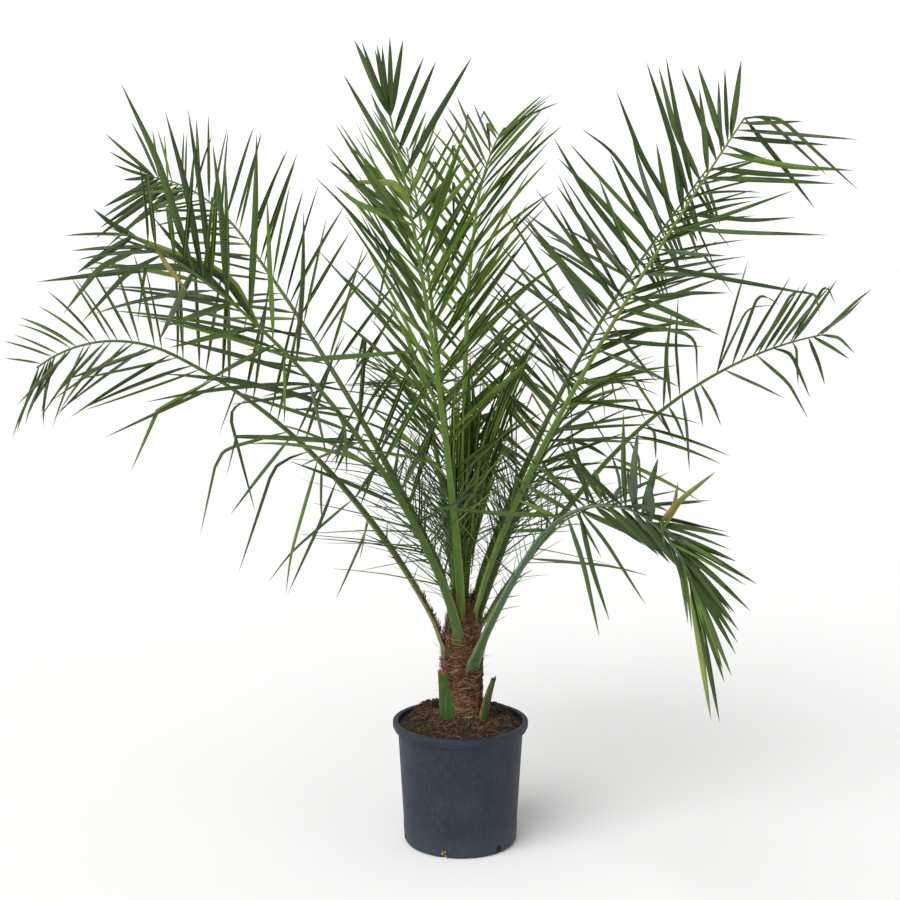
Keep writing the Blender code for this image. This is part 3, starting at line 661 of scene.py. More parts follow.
def makeMargins():              # frayed black margins of old sheaths up the stem's sides
    draw = random.Random(stem["seed"] + 1)
    points, faces = [], []
    for azimuth, low, high, reach in stem["margins"]:
        first = len(points)
        count = round((high - low) / 0.0022)
        for i in range(count + 1):
            z = mix(low, high, i / count)
            fade = math.sin(math.pi * min(1, max(0, i / count))) ** 0.4
            tooth = reach * fade * draw.uniform(0.45, 1.0)
            slant = azimuth + 5 * math.sin(z * 26)
            points.append(onStem(slant - 5, z, 0.0005))
            points.append(onStem(slant, z + draw.uniform(-0.001, 0.001), 0.002 + tooth))
            points.append(onStem(slant + 5, z, 0.0005))
        for i in range(count):
            a, b = first + i * 3, first + i * 3 + 3
            faces.append((a, a + 1, b + 1, b))
            faces.append((a + 1, a + 2, b + 2, b + 1))
            faces.append((a, b, b + 2, a + 2))
        faces.append((first, first + 2, first + 1))
        faces.append((first + count * 3, first + count * 3 + 1, first + count * 3 + 2))
    black = fibreStuff("rotted sheath margin", "#120c08", "#2e2118", 0.95)
    dress(addPiece("stem_margins", points, faces, [black]), "stem_fibre")
    print("stem done")


# Leaf: thick waxy blade folded in a V, satin. A leaflet's two halves, its back and its pale midrib are
# faces of their own, each in one plain colour drawn for its frond; the second half takes a darker copy of
# the green, painted shade on that side of the fold.
leafShades = {                  # lit half of the upper face, other half in painted shade, back
    "deep": ("#2a3f0d", "#1f300a", "#394b24"),
    "mid": ("#3c5514", "#2e430f", "#4a5f2c"),
    "fresh": ("#567618", "#456214", "#627c32"),
    "grey": ("#425232", "#344428", "#586649"),
    "blue": ("#3e523a", "#334532", "#57684f"),
    "yellow": ("#6c7f22", "#566b1a", "#78853a"),
    "straw": ("#8a763a", "#75642e", "#94824e"),
    "dry": ("#4f391c", "#3a2914", "#5d4a2f"),
}
shadeNames = list(leafShades)
midribSlot = len(shadeNames) * 3


def leafBlade(name, colour, roughness):
    material, tree, shader = newMaterial(name, colour, roughness, 1.45)
    shader.inputs["Specular IOR Level"].default_value = 0.24        # a waxy bloom scatters most of the gloss
    lengths = addNode(tree, "ShaderNodeUVMap", {"uv_map": "lengths"}).outputs["UV"]
    veins = addNode(tree, "ShaderNodeTexWave", {"Scale": wavePeriod * perMetre(4.0), "Distortion": 0.6},
                    {"Vector": lengths})        # veins 4 mm apart, coarser than life so that they show
    soft = addNode(tree, "ShaderNodeTexNoise", {"Scale": perMetre(30), "Detail": 2.0}, {"Vector": lengths})
    both = addNode(tree, "ShaderNodeMath", {"operation": "MULTIPLY_ADD", 1: 0.35},
                   {0: veins.outputs["Fac"], 2: soft.outputs["Fac"]})
    shift = addNode(tree, "ShaderNodeMapRange",
                    {"From Min": 0.35, "From Max": 1.0, "To Min": 0.86, "To Max": 1.16},
                    {"Value": both.outputs["Value"]})
    tinted = addNode(tree, "ShaderNodeHueSaturation", {"Color": hexColour(colour)},
                     {"Value": shift.outputs["Result"]})
    tree.links.new(tinted.outputs["Color"], shader.inputs["Base Color"])
    bump = addNode(tree, "ShaderNodeBump", {"Strength": 0.3, "Distance": 0.0003},
                   {"Height": veins.outputs["Fac"]})
    tree.links.new(bump.outputs["Normal"], shader.inputs["Normal"])
    return material


def ribRind(name, base, middle, tip, edge):     # rachis rind: smooth, satin, yellow along its edges
    material, tree, shader = newMaterial(name, middle, 0.42, 1.45)
    shader.inputs["Specular IOR Level"].default_value = 0.34
    lengths = addNode(tree, "ShaderNodeUVMap", {"uv_map": "lengths"}).outputs["UV"]
    parts = addNode(tree, "ShaderNodeSeparateXYZ", {}, {"Vector": lengths})
    run = addNode(tree, "ShaderNodeValToRGB",
                  {"stops": [(0.0, base), (0.10, base), (0.35, middle), (1.0, tip)]},
                  {"Fac": parts.outputs["Y"]})
    side = addNode(tree, "ShaderNodeMapRange", {"From Min": 0.62, "From Max": 0.95, "To Max": 0.7},
                   {"Value": parts.outputs["X"]})
    edged = addNode(tree, "ShaderNodeMix", {"data_type": "RGBA", 7: hexColour(edge)},
                    {0: side.outputs["Result"], 6: run.outputs["Color"]})
    place = addNode(tree, "ShaderNodeTexCoord").outputs["Object"]
    scurf = addNode(tree, "ShaderNodeTexNoise", {"Scale": perMetre(11), "Detail": 5.0}, {"Vector": place})
    shift = addNode(tree, "ShaderNodeMapRange",
                    {"From Min": 0.3, "From Max": 0.7, "To Min": 0.86, "To Max": 1.14},
                    {"Value": scurf.outputs["Fac"]})
    tinted = addNode(tree, "ShaderNodeHueSaturation", {},
                     {"Color": edged.outputs[2], "Value": shift.outputs["Result"]})
    tree.links.new(tinted.outputs["Color"], shader.inputs["Base Color"])
    bump = addNode(tree, "ShaderNodeBump", {"Strength": 0.25, "Distance": 0.0005},
                   {"Height": scurf.outputs["Fac"]})
    tree.links.new(bump.outputs["Normal"], shader.inputs["Normal"])
    return material


# The crown's rule. Directions are degrees from +X, counter-clockwise seen from above. "seat" is where
# a rib sits round the stem and "sheath" how far its foot runs down the stem and how much wider it ends
# there. "rise" is its elevation at five stations, "turn" what its heading gains by the tip, and "roll" its
# twist at the first leaflet and at the tip. "spread" and "droop" are given at the first leaflet and at
# the tip, for the left and then the right side, and "sides" and "tips" are the leaflets' length on each
# side. "crowding" below 1 packs them towards the tip. "kinked" is the share of them that is bent over,
# left and right, and where along the leaflets that starts and ends. "bare" rows are a side, 0 left or
# 1 right, and the stretch of it that the rule leaves empty. "broad" is the leaflets' width, and "stout"
# widens the rib. "spines" is how many stand on each side of the petiole, and "spineEnd" is the length of
# the last ones. "crossers" are long stiff leaflets above them. "fringe" is how far up the petiole's edges
# are torn, and "forward" is how far the tip's leaflets lean ahead.
# A "laid" row is one listed leaflet: its place along the rib, the angle and length of its first leg
# and of its second, in degrees from +X towards +Z, its width and its shade.
crown = dict(stations=(0.0, 0.1, 0.4, 0.75, 1.0), ribSteps=60,
             ribWidth=((0.0, 1.0), (0.06, 0.92), (0.28, 0.64), (0.5, 0.44), (0.75, 0.28), (1.0, 0.16)),
             ribThick=((0.0, 0.0170), (0.06, 0.0158), (0.28, 0.0118), (0.5, 0.0088), (0.75, 0.0062),
                       (1.0, 0.0040)),
             ribFull=0.026, ribFullAt=0.10, ribSides=14,
             sheathRows=8, blendRows=6, freeRows=66, blendEnd=0.05,
             leafletLength=((0.0, 0.76), (0.25, 1.0), (0.6, 0.92), (0.85, 0.74), (1.0, 0.54)), taperFrom=0.4,
             midrib=0.0009, keel=0.0011, lastLeaflet=0.99, ranks=(-18, 2, 22),
             bladeWidth=((0.0, 0.30), (0.04, 0.46), (0.12, 0.84), (0.26, 1.0), (0.5, 0.96), (0.72, 0.72),
                         (0.88, 0.38), (0.96, 0.15), (1.0, 0.03)),
             bladeStops=(0.0, 0.04, 0.12, 0.26, 0.42, 0.56, 0.68, 0.79, 0.88, 0.95, 1.0),
             lengths=(0.86, 1.05), droops=(0.3, 1.3), sweeps=(-0.02, 0.05), kinks=(0.40, 0.78),
             twists=(-20, 55), folds=(30, 50), jitters=(-6, 6), widths=(0.84, 1.12), laidFolds=(22, 40),
             swings=(0, 6, -6, 12, -12, 18), leans=(-0.45, 0.45, -0.7, 0.7), softBend=0.11, tubeRings=31,
             spines=17, spineStops=(0, 0.12, 0.5, 0.85, 1.0), spineFrom=0.060,
             spineSpread=(22, 68), spineLift=(-30, 62), spineStart=0.034, spineEnd=0.24,
             spineSag=0.05, spineRadius=(0.0009, 0.0030),
             crosserFrom=0.10, crosserSpread=(24, 72), crosserLift=(-30, 60), crosserLength=(0.14, 0.32),
             crosserSag=0.09, crosserRadius=(0.0018, 0.0030), stiffTip=0.12,
             fringe=0.05, fringeThreads=70, fringeGain=1400, fringeLength=(0.004, 0.016), lapThreads=26,
             seed=7)
plainShades = dict(deep=5, mid=4, fresh=1.2, grey=4, yellow=0.2)
youngShades = dict(deep=2.5, mid=4, fresh=6, yellow=0.6)
fronds = [
    dict(name="left_low", nodes=("frond_left_low", "frond_left_low_tip"), heading=188, turn=-8,
         seat=188, seatZ=0.468,
         rise=(85, 62, 49, 27, -38), length=1.40, base=0.034, roll=(50, 60), spread=((70, 52), (64, 54)),
         lift=(26, 12), droop=((0.08, 0.05), (0.04, 0.03)), first=0.27, leaf=0.39, sides=(0.90, 0.95),
         tips=(0.60, 0.65), count=28, crowding=0.64, kinked=(0.05, 0.10, 0.0, 0.55), rind="olive",
         broad=0.0125, spines=7, spineEnd=0.09, fringe=0.13, stout=1.1, bare=((1, 0.0, 0.34),),
         shades=plainShades, sheath=(0.0, 1.1),
         laid=((0.51, 194, 0.175, 258, 0.21, 0.01014, "mid"), (0.60, 212, 0.06, 281, 0.28, 0.00936, "deep"),
               (0.50, 231, 0.12, 232, 0.13, 0.01248, "mid"), (0.46, 197, 0.09, 252, 0.28, 0.00936, "deep"),
               (0.44, 254, 0.24, 263, 0.10, 0.01014, "fresh"), (0.43, 268, 0.10, 272, 0.055, 0.00858, "grey"),
               (0.39, 249, 0.115, 245, 0.19, 0.01014, "deep"), (0.345, 220, 0.20, 232, 0.095, 0.00936, "mid"),
               (0.30, 251, 0.06, 246, 0.16, 0.00858, "grey"), (0.305, 261, 0.06, 258, 0.05, 0.00624, "straw"),
               (0.995, 250, 0.13, 255, 0.04, 0.00936, "deep"), (0.98, 246, 0.15, 254, 0.05, 0.00936, "mid"),
               (0.97, 256, 0.12, 262, 0.06, 0.00936, "deep"), (0.96, 240, 0.15, 250, 0.05, 0.00936, "grey"))),
    dict(name="left_back", nodes=("frond_left_back",), heading=147, turn=-7, seat=160, seatZ=0.572,
         rise=(89, 58, 52, 44, 6), length=1.59, base=0.021, roll=(45, 50), spread=((64, 54), (62, 50)),
         lift=(26, 12), droop=((0.06, 0.04), (0.06, 0.04)), first=0.27, leaf=0.43, sides=(0.80, 0.52),
         tips=(0.90, 1.0), count=32, crowding=0.80, kinked=(0.04, 0.06, 0.0, 1.0), crossers=12, rind="green",
         broad=0.0126, shades=plainShades, sheath=(0.030, 1.4),
         laid=((1.0, 138, 0.12, 136, 0.06, 0.013, "mid"), (1.0, 151, 0.09, 148, 0.055, 0.013, "deep"),
               (1.0, 164, 0.07, 160, 0.05, 0.013, "mid"), (1.0, 186, 0.05, 184, 0.04, 0.014, "deep"),
               (0.99, 112, 0.10, 116, 0.07, 0.012, "grey"), (1.0, 210, 0.06, 212, 0.035, 0.017, "deep"),
               (0.985, 205, 0.10, 208, 0.08, 0.018, "deep"), (0.97, 211, 0.12, 212, 0.09, 0.018, "mid"),
               (0.96, 213, 0.13, 214, 0.11, 0.018, "deep"), (0.95, 216, 0.15, 218, 0.12, 0.018, "deep"),
               (0.935, 220, 0.16, 222, 0.11, 0.017, "mid"), (0.92, 214, 0.12, 216, 0.08, 0.017, "deep"),
               (0.90, 205, 0.10, 204, 0.07, 0.016, "grey"))),
    dict(name="left_front", nodes=("frond_left_front",), heading=214, turn=9, seat=254, seatZ=0.520,
         rise=(86, 66, 52, 39, 25), length=1.39, base=0.030, roll=(-48, -60), spread=((54, 32), (54, 52)),
         lift=(26, 12), droop=((0.08, 0.05), (0.06, 0.04)), first=0.25, leaf=0.45, sides=(0.90, 0.90),
         tips=(0.65, 0.80), count=22, crowding=0.80, kinked=(0.12, 0.10, 0.0, 1.0), crossers=14, rind="green",
         broad=0.0155, spines=17, bare=((1, 0.22, 0.66),), shades=plainShades, sheath=(0.0, 1.1),
         laid=((0.72, 119, 0.135, 158, 0.28, 0.022, "yellow"), (0.73, 122, 0.13, 160, 0.25, 0.017, "deep"),
               (0.78, 138, 0.137, 187, 0.325, 0.019, "deep"), (0.77, 133, 0.17, 128, 0.10, 0.018, "deep"),
               (0.79, 170, 0.09, 183, 0.09, 0.016, "deep"), (0.785, 198, 0.08, 199, 0.09, 0.018, "mid"),
               (0.725, 192, 0.10, 194, 0.10, 0.016, "mid"), (0.95, 300, 0.06, 308, 0.06, 0.014, "straw"),
               (0.875, 242, 0.08, 243, 0.09, 0.018, "grey"), (0.96, 204, 0.12, 229, 0.13, 0.016, "mid"),
               (0.93, 206, 0.10, 224, 0.16, 0.014, "deep"), (0.87, 106, 0.25, 114, 0.17, 0.018, "mid"),
               (0.85, 100, 0.20, 106, 0.17, 0.018, "deep"), (0.83, 96, 0.21, 98, 0.17, 0.017, "deep"),
               (0.745, 86, 0.22, 88, 0.18, 0.017, "mid"), (0.69, 91, 0.17, 89, 0.15, 0.017, "fresh"),
               (0.63, 85, 0.18, 88, 0.16, 0.016, "deep"), (0.80, 92, 0.19, 95, 0.14, 0.017, "mid"),
               (0.65, -25, 0.02, 5, 0.30, 0.017, "mid"), (0.65, 225, 0.015, 269, 0.15, 0.010, "fresh"),
               (0.595, -78, 0.07, -80, 0.14, 0.010, "grey"), (0.56, 189, 0.10, 188, 0.11, 0.010, "deep"),
               (0.62, 172, 0.08, 174, 0.08, 0.008, "deep"), (0.49, 258, 0.06, 256, 0.05, 0.011, "deep"),
               (0.385, 235, 0.05, 234, 0.05, 0.013, "deep"), (0.25, 30, 0.10, 32, 0.10, 0.008, "deep"),
               (0.53, -62, 0.06, -88, 0.12, 0.010, "mid"), (0.44, 200, 0.08, 204, 0.08, 0.008, "grey"),
               (0.68, 206, 0.10, 210, 0.09, 0.012, "mid"), (0.42, -8, 0.12, -14, 0.10, 0.010, "mid"),
               (0.98, 150, 0.06, 140, 0.05, 0.016, "deep"), (0.99, 210, 0.09, 214, 0.06, 0.017, "deep"))),
    dict(name="front_tall", nodes=("frond_front_tall",), heading=256, turn=2, seat=264, seatZ=0.582,
         rise=(88, 72, 63, 54, 44), length=1.38, base=0.022, roll=(10, 0), spread=((47, 2), (46, 6)),
         lift=(26, 10), droop=((0.05, 0.02), (0.05, 0.02)), first=0.25, leaf=0.40, sides=(1.0, 1.0),
         tips=(1.0, 1.0), count=27, crowding=0.82, kinked=(0.10, 0.03, 0.2, 0.8), crossers=18, rind="bright",
         broad=0.0140, spines=24, bare=((0, 0.62, 1.0), (1, 0.62, 1.0)), shades=youngShades,
         sheath=(0.0, 1.1),
         laid=((1.0, 116, 0.09, 115, 0.08, 0.018, "mid"), (1.0, 112, 0.08, 110, 0.075, 0.012, "deep"),
               (1.0, 104, 0.07, 102, 0.065, 0.014, "deep"), (1.0, 101, 0.075, 99, 0.065, 0.013, "deep"),
               (1.0, 98, 0.07, 95, 0.07, 0.014, "deep"), (1.0, 90, 0.08, 89, 0.075, 0.014, "deep"),
               (1.0, 81, 0.08, 80, 0.075, 0.015, "deep"), (0.965, 69, 0.085, 68, 0.078, 0.014, "deep"),
               (0.93, 67, 0.10, 66, 0.10, 0.015, "deep"), (0.885, 61, 0.11, 58, 0.17, 0.017, "deep"),
               (0.88, 118, 0.07, 121, 0.175, 0.017, "mid"), (0.93, 115, 0.07, 115, 0.065, 0.011, "grey"),
               (0.845, 62, 0.07, 62, 0.055, 0.015, "fresh"), (0.80, 50, 0.07, 48, 0.06, 0.014, "mid"),
               (0.825, 120, 0.064, 179, 0.108, 0.017, "yellow"), (0.80, 146, 0.11, 144, 0.11, 0.012, "mid"),
               (0.79, 159, 0.135, 141, 0.064, 0.017, "fresh"), (0.77, 140, 0.12, 137, 0.12, 0.015, "mid"),
               (0.76, 52, 0.12, 50, 0.12, 0.015, "fresh"))),
    dict(name="back_tall", nodes=("frond_back_tall",), heading=108, turn=-2, seat=116, seatZ=0.584,
         rise=(88, 80, 71, 62, 50), length=1.29, base=0.021, roll=(0, 0), spread=((46, 24), (46, 24)),
         lift=(26, 12), droop=((0.04, 0.03), (0.04, 0.03)), first=0.27, leaf=0.38, sides=(0.90, 1.0),
         tips=(0.90, 1.0), count=28, crowding=0.85, kinked=(0.05, 0.05, 0.0, 1.0), crossers=14, rind="bright",
         broad=0.0140, shades=youngShades, sheath=(0.030, 1.4)),
    dict(name="back_right", nodes=("frond_back_right",), heading=100, turn=-34, seat=72, seatZ=0.592,
         rise=(88, 86, 78, 62, 30), length=1.36, base=0.021, roll=(0, 0), spread=((48, 30), (48, 32)),
         lift=(26, 12), droop=((0.05, 0.05), (0.05, 0.05)), first=0.27, leaf=0.36, sides=(1.0, 0.95),
         tips=(1.0, 0.90), count=28, crowding=0.85, kinked=(0.04, 0.30, 0.55, 1.0), crossers=14,
         rind="bright", broad=0.0140, spines=24, shades=youngShades, sheath=(0.030, 1.4)),
    dict(name="back_low", nodes=("frond_back_low",), heading=102, turn=-4, seat=98, seatZ=0.520,
         rise=(72, 58, 46, 18, -24), length=1.10, base=0.030, roll=(0, 0), spread=((60, 44), (60, 44)),
         lift=(26, 12), droop=((0.10, 0.10), (0.10, 0.10)), first=0.30, leaf=0.34, sides=(1.0, 1.0),
         tips=(1.0, 1.0), count=26, crowding=0.85, kinked=(0.15, 0.15, 0.0, 1.0), crossers=12, rind="green",
         broad=0.0105, shades=plainShades, sheath=(0.030, 1.4)),
    dict(name="right_high", nodes=("frond_right_high",), heading=351, turn=7, seat=344, seatZ=0.562,
         rise=(85, 70, 62, 58, 57), length=1.41, base=0.022, roll=(60, 65), spread=((72, 42), (70, 48)),
         lift=(26, 12), droop=((0.05, 0.04), (0.05, 0.04)), first=0.27, leaf=0.41, sides=(1.0, 1.10),
         tips=(0.85, 1.10), count=28, crowding=0.85, kinked=(0.06, 0.05, 0.0, 0.6), crossers=16,
         rind="bright", broad=0.0145, spines=24, bare=((1, 0.24, 1.0), (0, 0.50, 1.0)), shades=plainShades,
         sheath=(0.0, 1.1),
         laid=((0.96, 84, 0.10, 86, 0.08, 0.019, "mid"), (0.95, 97, 0.10, 96, 0.075, 0.013, "deep"),
               (0.94, 107, 0.11, 108, 0.10, 0.019, "mid"), (0.915, 110, 0.12, 110, 0.12, 0.017, "deep"),
               (0.93, 92, 0.10, 90, 0.08, 0.013, "grey"), (0.89, 98, 0.11, 100, 0.09, 0.015, "mid"),
               (0.87, 115, 0.157, 103, 0.15, 0.018, "mid"), (0.85, 106, 0.17, 104, 0.16, 0.017, "deep"),
               (0.835, 110, 0.196, 112, 0.153, 0.017, "deep"), (0.815, 98, 0.10, 102, 0.114, 0.019, "deep"),
               (0.80, 123, 0.17, 113, 0.17, 0.016, "deep"), (0.785, 102, 0.11, 99, 0.10, 0.015, "mid"),
               (0.775, 126, 0.24, 146, 0.09, 0.016, "deep"), (0.76, 112, 0.16, 108, 0.10, 0.015, "grey"),
               (0.75, 133, 0.20, 133, 0.13, 0.016, "mid"), (0.735, 118, 0.15, 114, 0.11, 0.015, "deep"),
               (0.72, 132, 0.214, 135, 0.12, 0.016, "mid"), (0.70, 129, 0.226, 121, 0.16, 0.017, "deep"),
               (0.685, 116, 0.14, 112, 0.12, 0.014, "mid"), (0.665, 131, 0.20, 127, 0.12, 0.016, "grey"),
               (0.64, 137, 0.196, 145, 0.13, 0.017, "blue"), (0.62, 124, 0.18, 120, 0.12, 0.015, "deep"),
               (0.60, 134, 0.20, 130, 0.14, 0.016, "mid"),
               (0.99, 1, 0.09, 1, 0.055, 0.014, "mid"), (0.975, -4, 0.16, -4, 0.14, 0.012, "grey"),
               (0.96, -4, 0.13, -3, 0.12, 0.015, "deep"), (0.93, -11, 0.172, -3, 0.15, 0.018, "fresh"),
               (0.945, -20, 0.12, -8, 0.14, 0.014, "mid"), (0.90, -6, 0.14, -2, 0.12, 0.015, "deep"),
               (0.88, -2, 0.16, -3, 0.15, 0.016, "mid"), (1.0, -47, 0.15, -49, 0.148, 0.015, "deep"),
               (1.0, 3, 0.077, -43, 0.26, 0.012, "mid"), (0.995, 12, 0.05, -40, 0.22, 0.012, "grey"),
               (0.81, -6, 0.17, 5, 0.10, 0.015, "deep"), (0.78, -4, 0.168, -1, 0.20, 0.016, "mid"),
               (0.77, 19, 0.16, 20, 0.15, 0.013, "mid"), (0.74, -8, 0.09, -3, 0.07, 0.014, "blue"),
               (0.71, -11, 0.18, -10, 0.23, 0.015, "deep"), (0.69, 0, 0.12, 0, 0.125, 0.014, "grey"),
               (0.65, -24, 0.12, -25, 0.12, 0.015, "mid"), (0.64, 6, 0.152, 0, 0.09, 0.014, "deep"),
               (0.60, -12, 0.198, -86, 0.117, 0.014, "mid"), (0.595, 24, 0.166, 19, 0.12, 0.013, "mid"),
               (0.59, -53, 0.09, -52, 0.09, 0.012, "deep"), (0.62, -14, 0.13, -10, 0.10, 0.014, "mid"),
               (0.56, -6, 0.13, -3, 0.12, 0.014, "deep"), (0.54, -22, 0.10, -26, 0.12, 0.013, "grey"))),
    dict(name="right_back", nodes=("frond_right_back",), heading=30, turn=2, seat=28, seatZ=0.580,
         rise=(82, 66, 59, 49, 46), length=1.36, base=0.021, roll=(-50, -40), spread=((60, 42), (72, 96)),
         lift=(26, 12), droop=((0.05, 0.05), (0.05, 0.10)), first=0.27, leaf=0.38, sides=(0.85, 0.85),
         tips=(1.0, 0.50), count=30, crowding=0.80, kinked=(0.15, 0.10, 0.0, 0.7), crossers=12, rind="green",
         broad=0.0140, shades=plainShades, sheath=(0.030, 1.4), bare=((1, 0.60, 1.0),),
         laid=tuple((0.76 + 0.016 * k, -58 - k % 4 * 5, 0.07, -64 - k % 3 * 3, 0.045 + 0.015 * (k % 3), 0.012,
                     ("deep", "mid", "grey")[k % 3]) for k in range(15))),
    dict(name="right_mid", nodes=("frond_right_mid",), heading=20, turn=2, seat=8, seatZ=0.525,
         rise=(68, 51, 46, 24, 8), length=1.28, base=0.028, roll=(-40, -45), spread=((78, 64), (98, 96)),
         lift=(26, 12), droop=((0.08, 0.06), (0.20, 0.16)), first=0.30, leaf=0.38, sides=(0.75, 0.62),
         tips=(1.0, 1.20), count=17, crowding=0.80, kinked=(0.25, 0.60, 0.5, 1.0), rind="green",
         broad=0.0145, shades=plainShades, sheath=(0.030, 1.3), bare=((0, 0.28, 1.0), (1, 0.16, 1.0)),
         laid=((0.83, 57, 0.11, 60, 0.11, 0.012, "mid"), (0.86, 56, 0.11, 58, 0.11, 0.012, "deep"),
               (0.845, 62, 0.19, -10, 0.06, 0.011, "mid"), (0.90, 55, 0.11, 53, 0.10, 0.012, "grey"),
               (0.93, 52, 0.11, 54, 0.10, 0.012, "mid"), (0.78, 68, 0.21, -30, 0.07, 0.012, "deep"),
               (0.74, 65, 0.19, 5, 0.07, 0.011, "grey"), (0.88, 59, 0.19, -78, 0.07, 0.012, "mid"),
               (0.925, 61, 0.18, -66, 0.06, 0.012, "deep"), (0.80, 60, 0.13, 58, 0.13, 0.011, "deep"),
               (0.74, 77, 0.16, 76, 0.15, 0.008, "deep"), (0.645, 94, 0.14, 86, 0.13, 0.009, "deep"),
               (0.62, 97, 0.12, 84, 0.13, 0.010, "mid"), (0.60, 86, 0.10, 88, 0.09, 0.009, "deep"),
               (1.0, 48, 0.13, 40, 0.05, 0.012, "mid"), (0.99, 38, 0.10, 50, 0.055, 0.011, "grey"),
               (0.98, -28, 0.07, -32, 0.06, 0.012, "mid"), (0.97, -64, 0.08, -70, 0.065, 0.012, "deep"),
               (0.93, -50, 0.02, -88, 0.10, 0.011, "mid"), (1.0, -8, 0.05, -44, 0.06, 0.011, "grey"),
               (0.88, -14, 0.05, -66, 0.13, 0.012, "deep"), (0.84, -40, 0.12, -60, 0.11, 0.012, "mid"),
               (0.455, -70, 0.060, -84, 0.100, 0.009, "grey"), (0.502, -58, 0.050, -86, 0.090, 0.009, "blue"),
               (0.550, -35, 0.030, -88, 0.075, 0.010, "grey"), (0.591, -62, 0.050, -64, 0.040, 0.010, "deep"),
               (0.613, -60, 0.050, -70, 0.060, 0.010, "mid"), (0.650, -80, 0.080, -86, 0.120, 0.010, "blue"),
               (0.682, -72, 0.060, -80, 0.050, 0.010, "grey"), (0.697, -58, 0.070, -66, 0.060, 0.011, "mid"),
               (0.76, -24, 0.11, -28, 0.06, 0.011, "grey"))),
    dict(name="right_low", nodes=("frond_right_low", "frond_right_low_tip"), heading=305, turn=-2,
         seat=308, seatZ=0.452, forward=0.80,
         rise=(70, 57, 49, 0, -56), length=1.06, base=0.044, roll=(20, 5), spread=((72, 20), (62, 22)),
         lift=(56, 12), droop=((0.16, 0.04), (0.04, 0.06)), first=0.32, leaf=0.36, sides=(0.62, 0.50),
         tips=(1.40, 1.50), count=24, crowding=0.95, kinked=(0.10, 0.06, 0.0, 1.0), rind="blue",
         broad=0.0170, spines=7, spineEnd=0.07, stout=1.15, sheath=(0.006, 1.02),
         shades=dict(deep=4, mid=4, fresh=1, grey=2, blue=2, yellow=0.5), bare=((0, 0.0, 0.5), (1, 0.0, 0.5)),
         laid=((0.71, 127, 0.09, 128, 0.085, 0.014, "deep"), (0.75, 137, 0.113, 148, 0.09, 0.015, "deep"),
               (0.76, 97, 0.09, 94, 0.125, 0.013, "mid"), (0.79, 95, 0.10, 88, 0.08, 0.021, "blue"),
               (0.80, 110, 0.08, 107, 0.04, 0.019, "blue"), (0.81, 80, 0.065, 79, 0.065, 0.021, "mid"),
               (0.84, 100, 0.05, 97, 0.045, 0.025, "blue"), (0.86, 62, 0.065, 91, 0.07, 0.013, "straw"),
               (0.875, 68, 0.075, 46, 0.095, 0.015, "yellow"), (0.85, -3, 0.08, -6, 0.075, 0.017, "mid"),
               (0.86, -24, 0.12, -27, 0.11, 0.017, "deep"), (0.87, -15, 0.09, -16, 0.082, 0.017, "deep"),
               (0.90, -35, 0.11, -38, 0.10, 0.017, "mid"), (0.92, -42, 0.10, -43, 0.08, 0.017, "deep"),
               (0.93, -47, 0.11, -48, 0.10, 0.017, "deep"), (0.94, -51, 0.10, -53, 0.10, 0.017, "mid"),
               (0.95, -56, 0.12, -58, 0.107, 0.016, "deep"), (0.97, -64, 0.12, -66, 0.12, 0.016, "mid"),
               (0.99, -70, 0.12, -72, 0.11, 0.016, "deep"), (0.985, -68, 0.11, -70, 0.10, 0.018, "fresh"),
               (1.0, -77, 0.14, -78, 0.13, 0.016, "deep"), (1.0, -80, 0.14, -81, 0.12, 0.019, "yellow"),
               (0.66, -38, 0.08, -40, 0.07, 0.018, "deep"), (0.70, -41, 0.08, -43, 0.08, 0.018, "mid"),
               (0.74, -45, 0.09, -46, 0.08, 0.018, "deep"), (0.78, -48, 0.09, -50, 0.07, 0.018, "grey"),
               (0.82, -50, 0.08, -52, 0.07, 0.018, "deep"), (0.88, -20, 0.09, -24, 0.09, 0.016, "mid"),
               (0.56, -71, 0.12, -78, 0.17, 0.014, "mid"), (0.60, -77, 0.14, -71, 0.12, 0.014, "deep"),
               (0.605, -51, 0.10, -58, 0.20, 0.011, "mid"), (0.59, -60, 0.06, -61, 0.06, 0.009, "grey"),
               (0.60, -23, 0.10, -25, 0.09, 0.015, "mid"), (0.37, -3, 0.20, -13, 0.09, 0.009, "grey"),
               (0.55, 176, 0.16, 172, 0.15, 0.014, "mid"), (0.53, 157, 0.06, 158, 0.06, 0.014, "fresh"),
               (0.48, 180, 0.05, 178, 0.04, 0.012, "mid"), (0.60, 128, 0.08, 127, 0.07, 0.014, "deep"),
               (0.63, 139, 0.13, 139, 0.075, 0.013, "mid"), (0.66, 121, 0.09, 122, 0.075, 0.014, "deep"),
               (0.69, 124, 0.10, 120, 0.09, 0.014, "mid"), (0.58, 150, 0.09, 146, 0.08, 0.012, "mid"),
               (0.64, 104, 0.09, 108, 0.10, 0.012, "deep"), (0.50, 132, 0.08, 138, 0.07, 0.012, "deep"))),
    dict(name="back_right_low", nodes=("frond_back_right_low",), heading=56, turn=8, seat=52, seatZ=0.520,
         rise=(62, 52, 46, 24, -12), length=1.08, base=0.028, roll=(0, 0), spread=((60, 44), (60, 44)),
         lift=(26, 12), droop=((0.10, 0.08), (0.10, 0.08)), first=0.32, leaf=0.30, sides=(1.0, 1.0),
         tips=(1.0, 1.0), count=24, crowding=0.85, kinked=(0.2, 0.2, 0.0, 1.0), rind="green",
         broad=0.0130, sheath=(0.030, 1.4),
         shades=dict(deep=4, mid=4, fresh=1, grey=3, yellow=0.6, straw=0.8)),
]


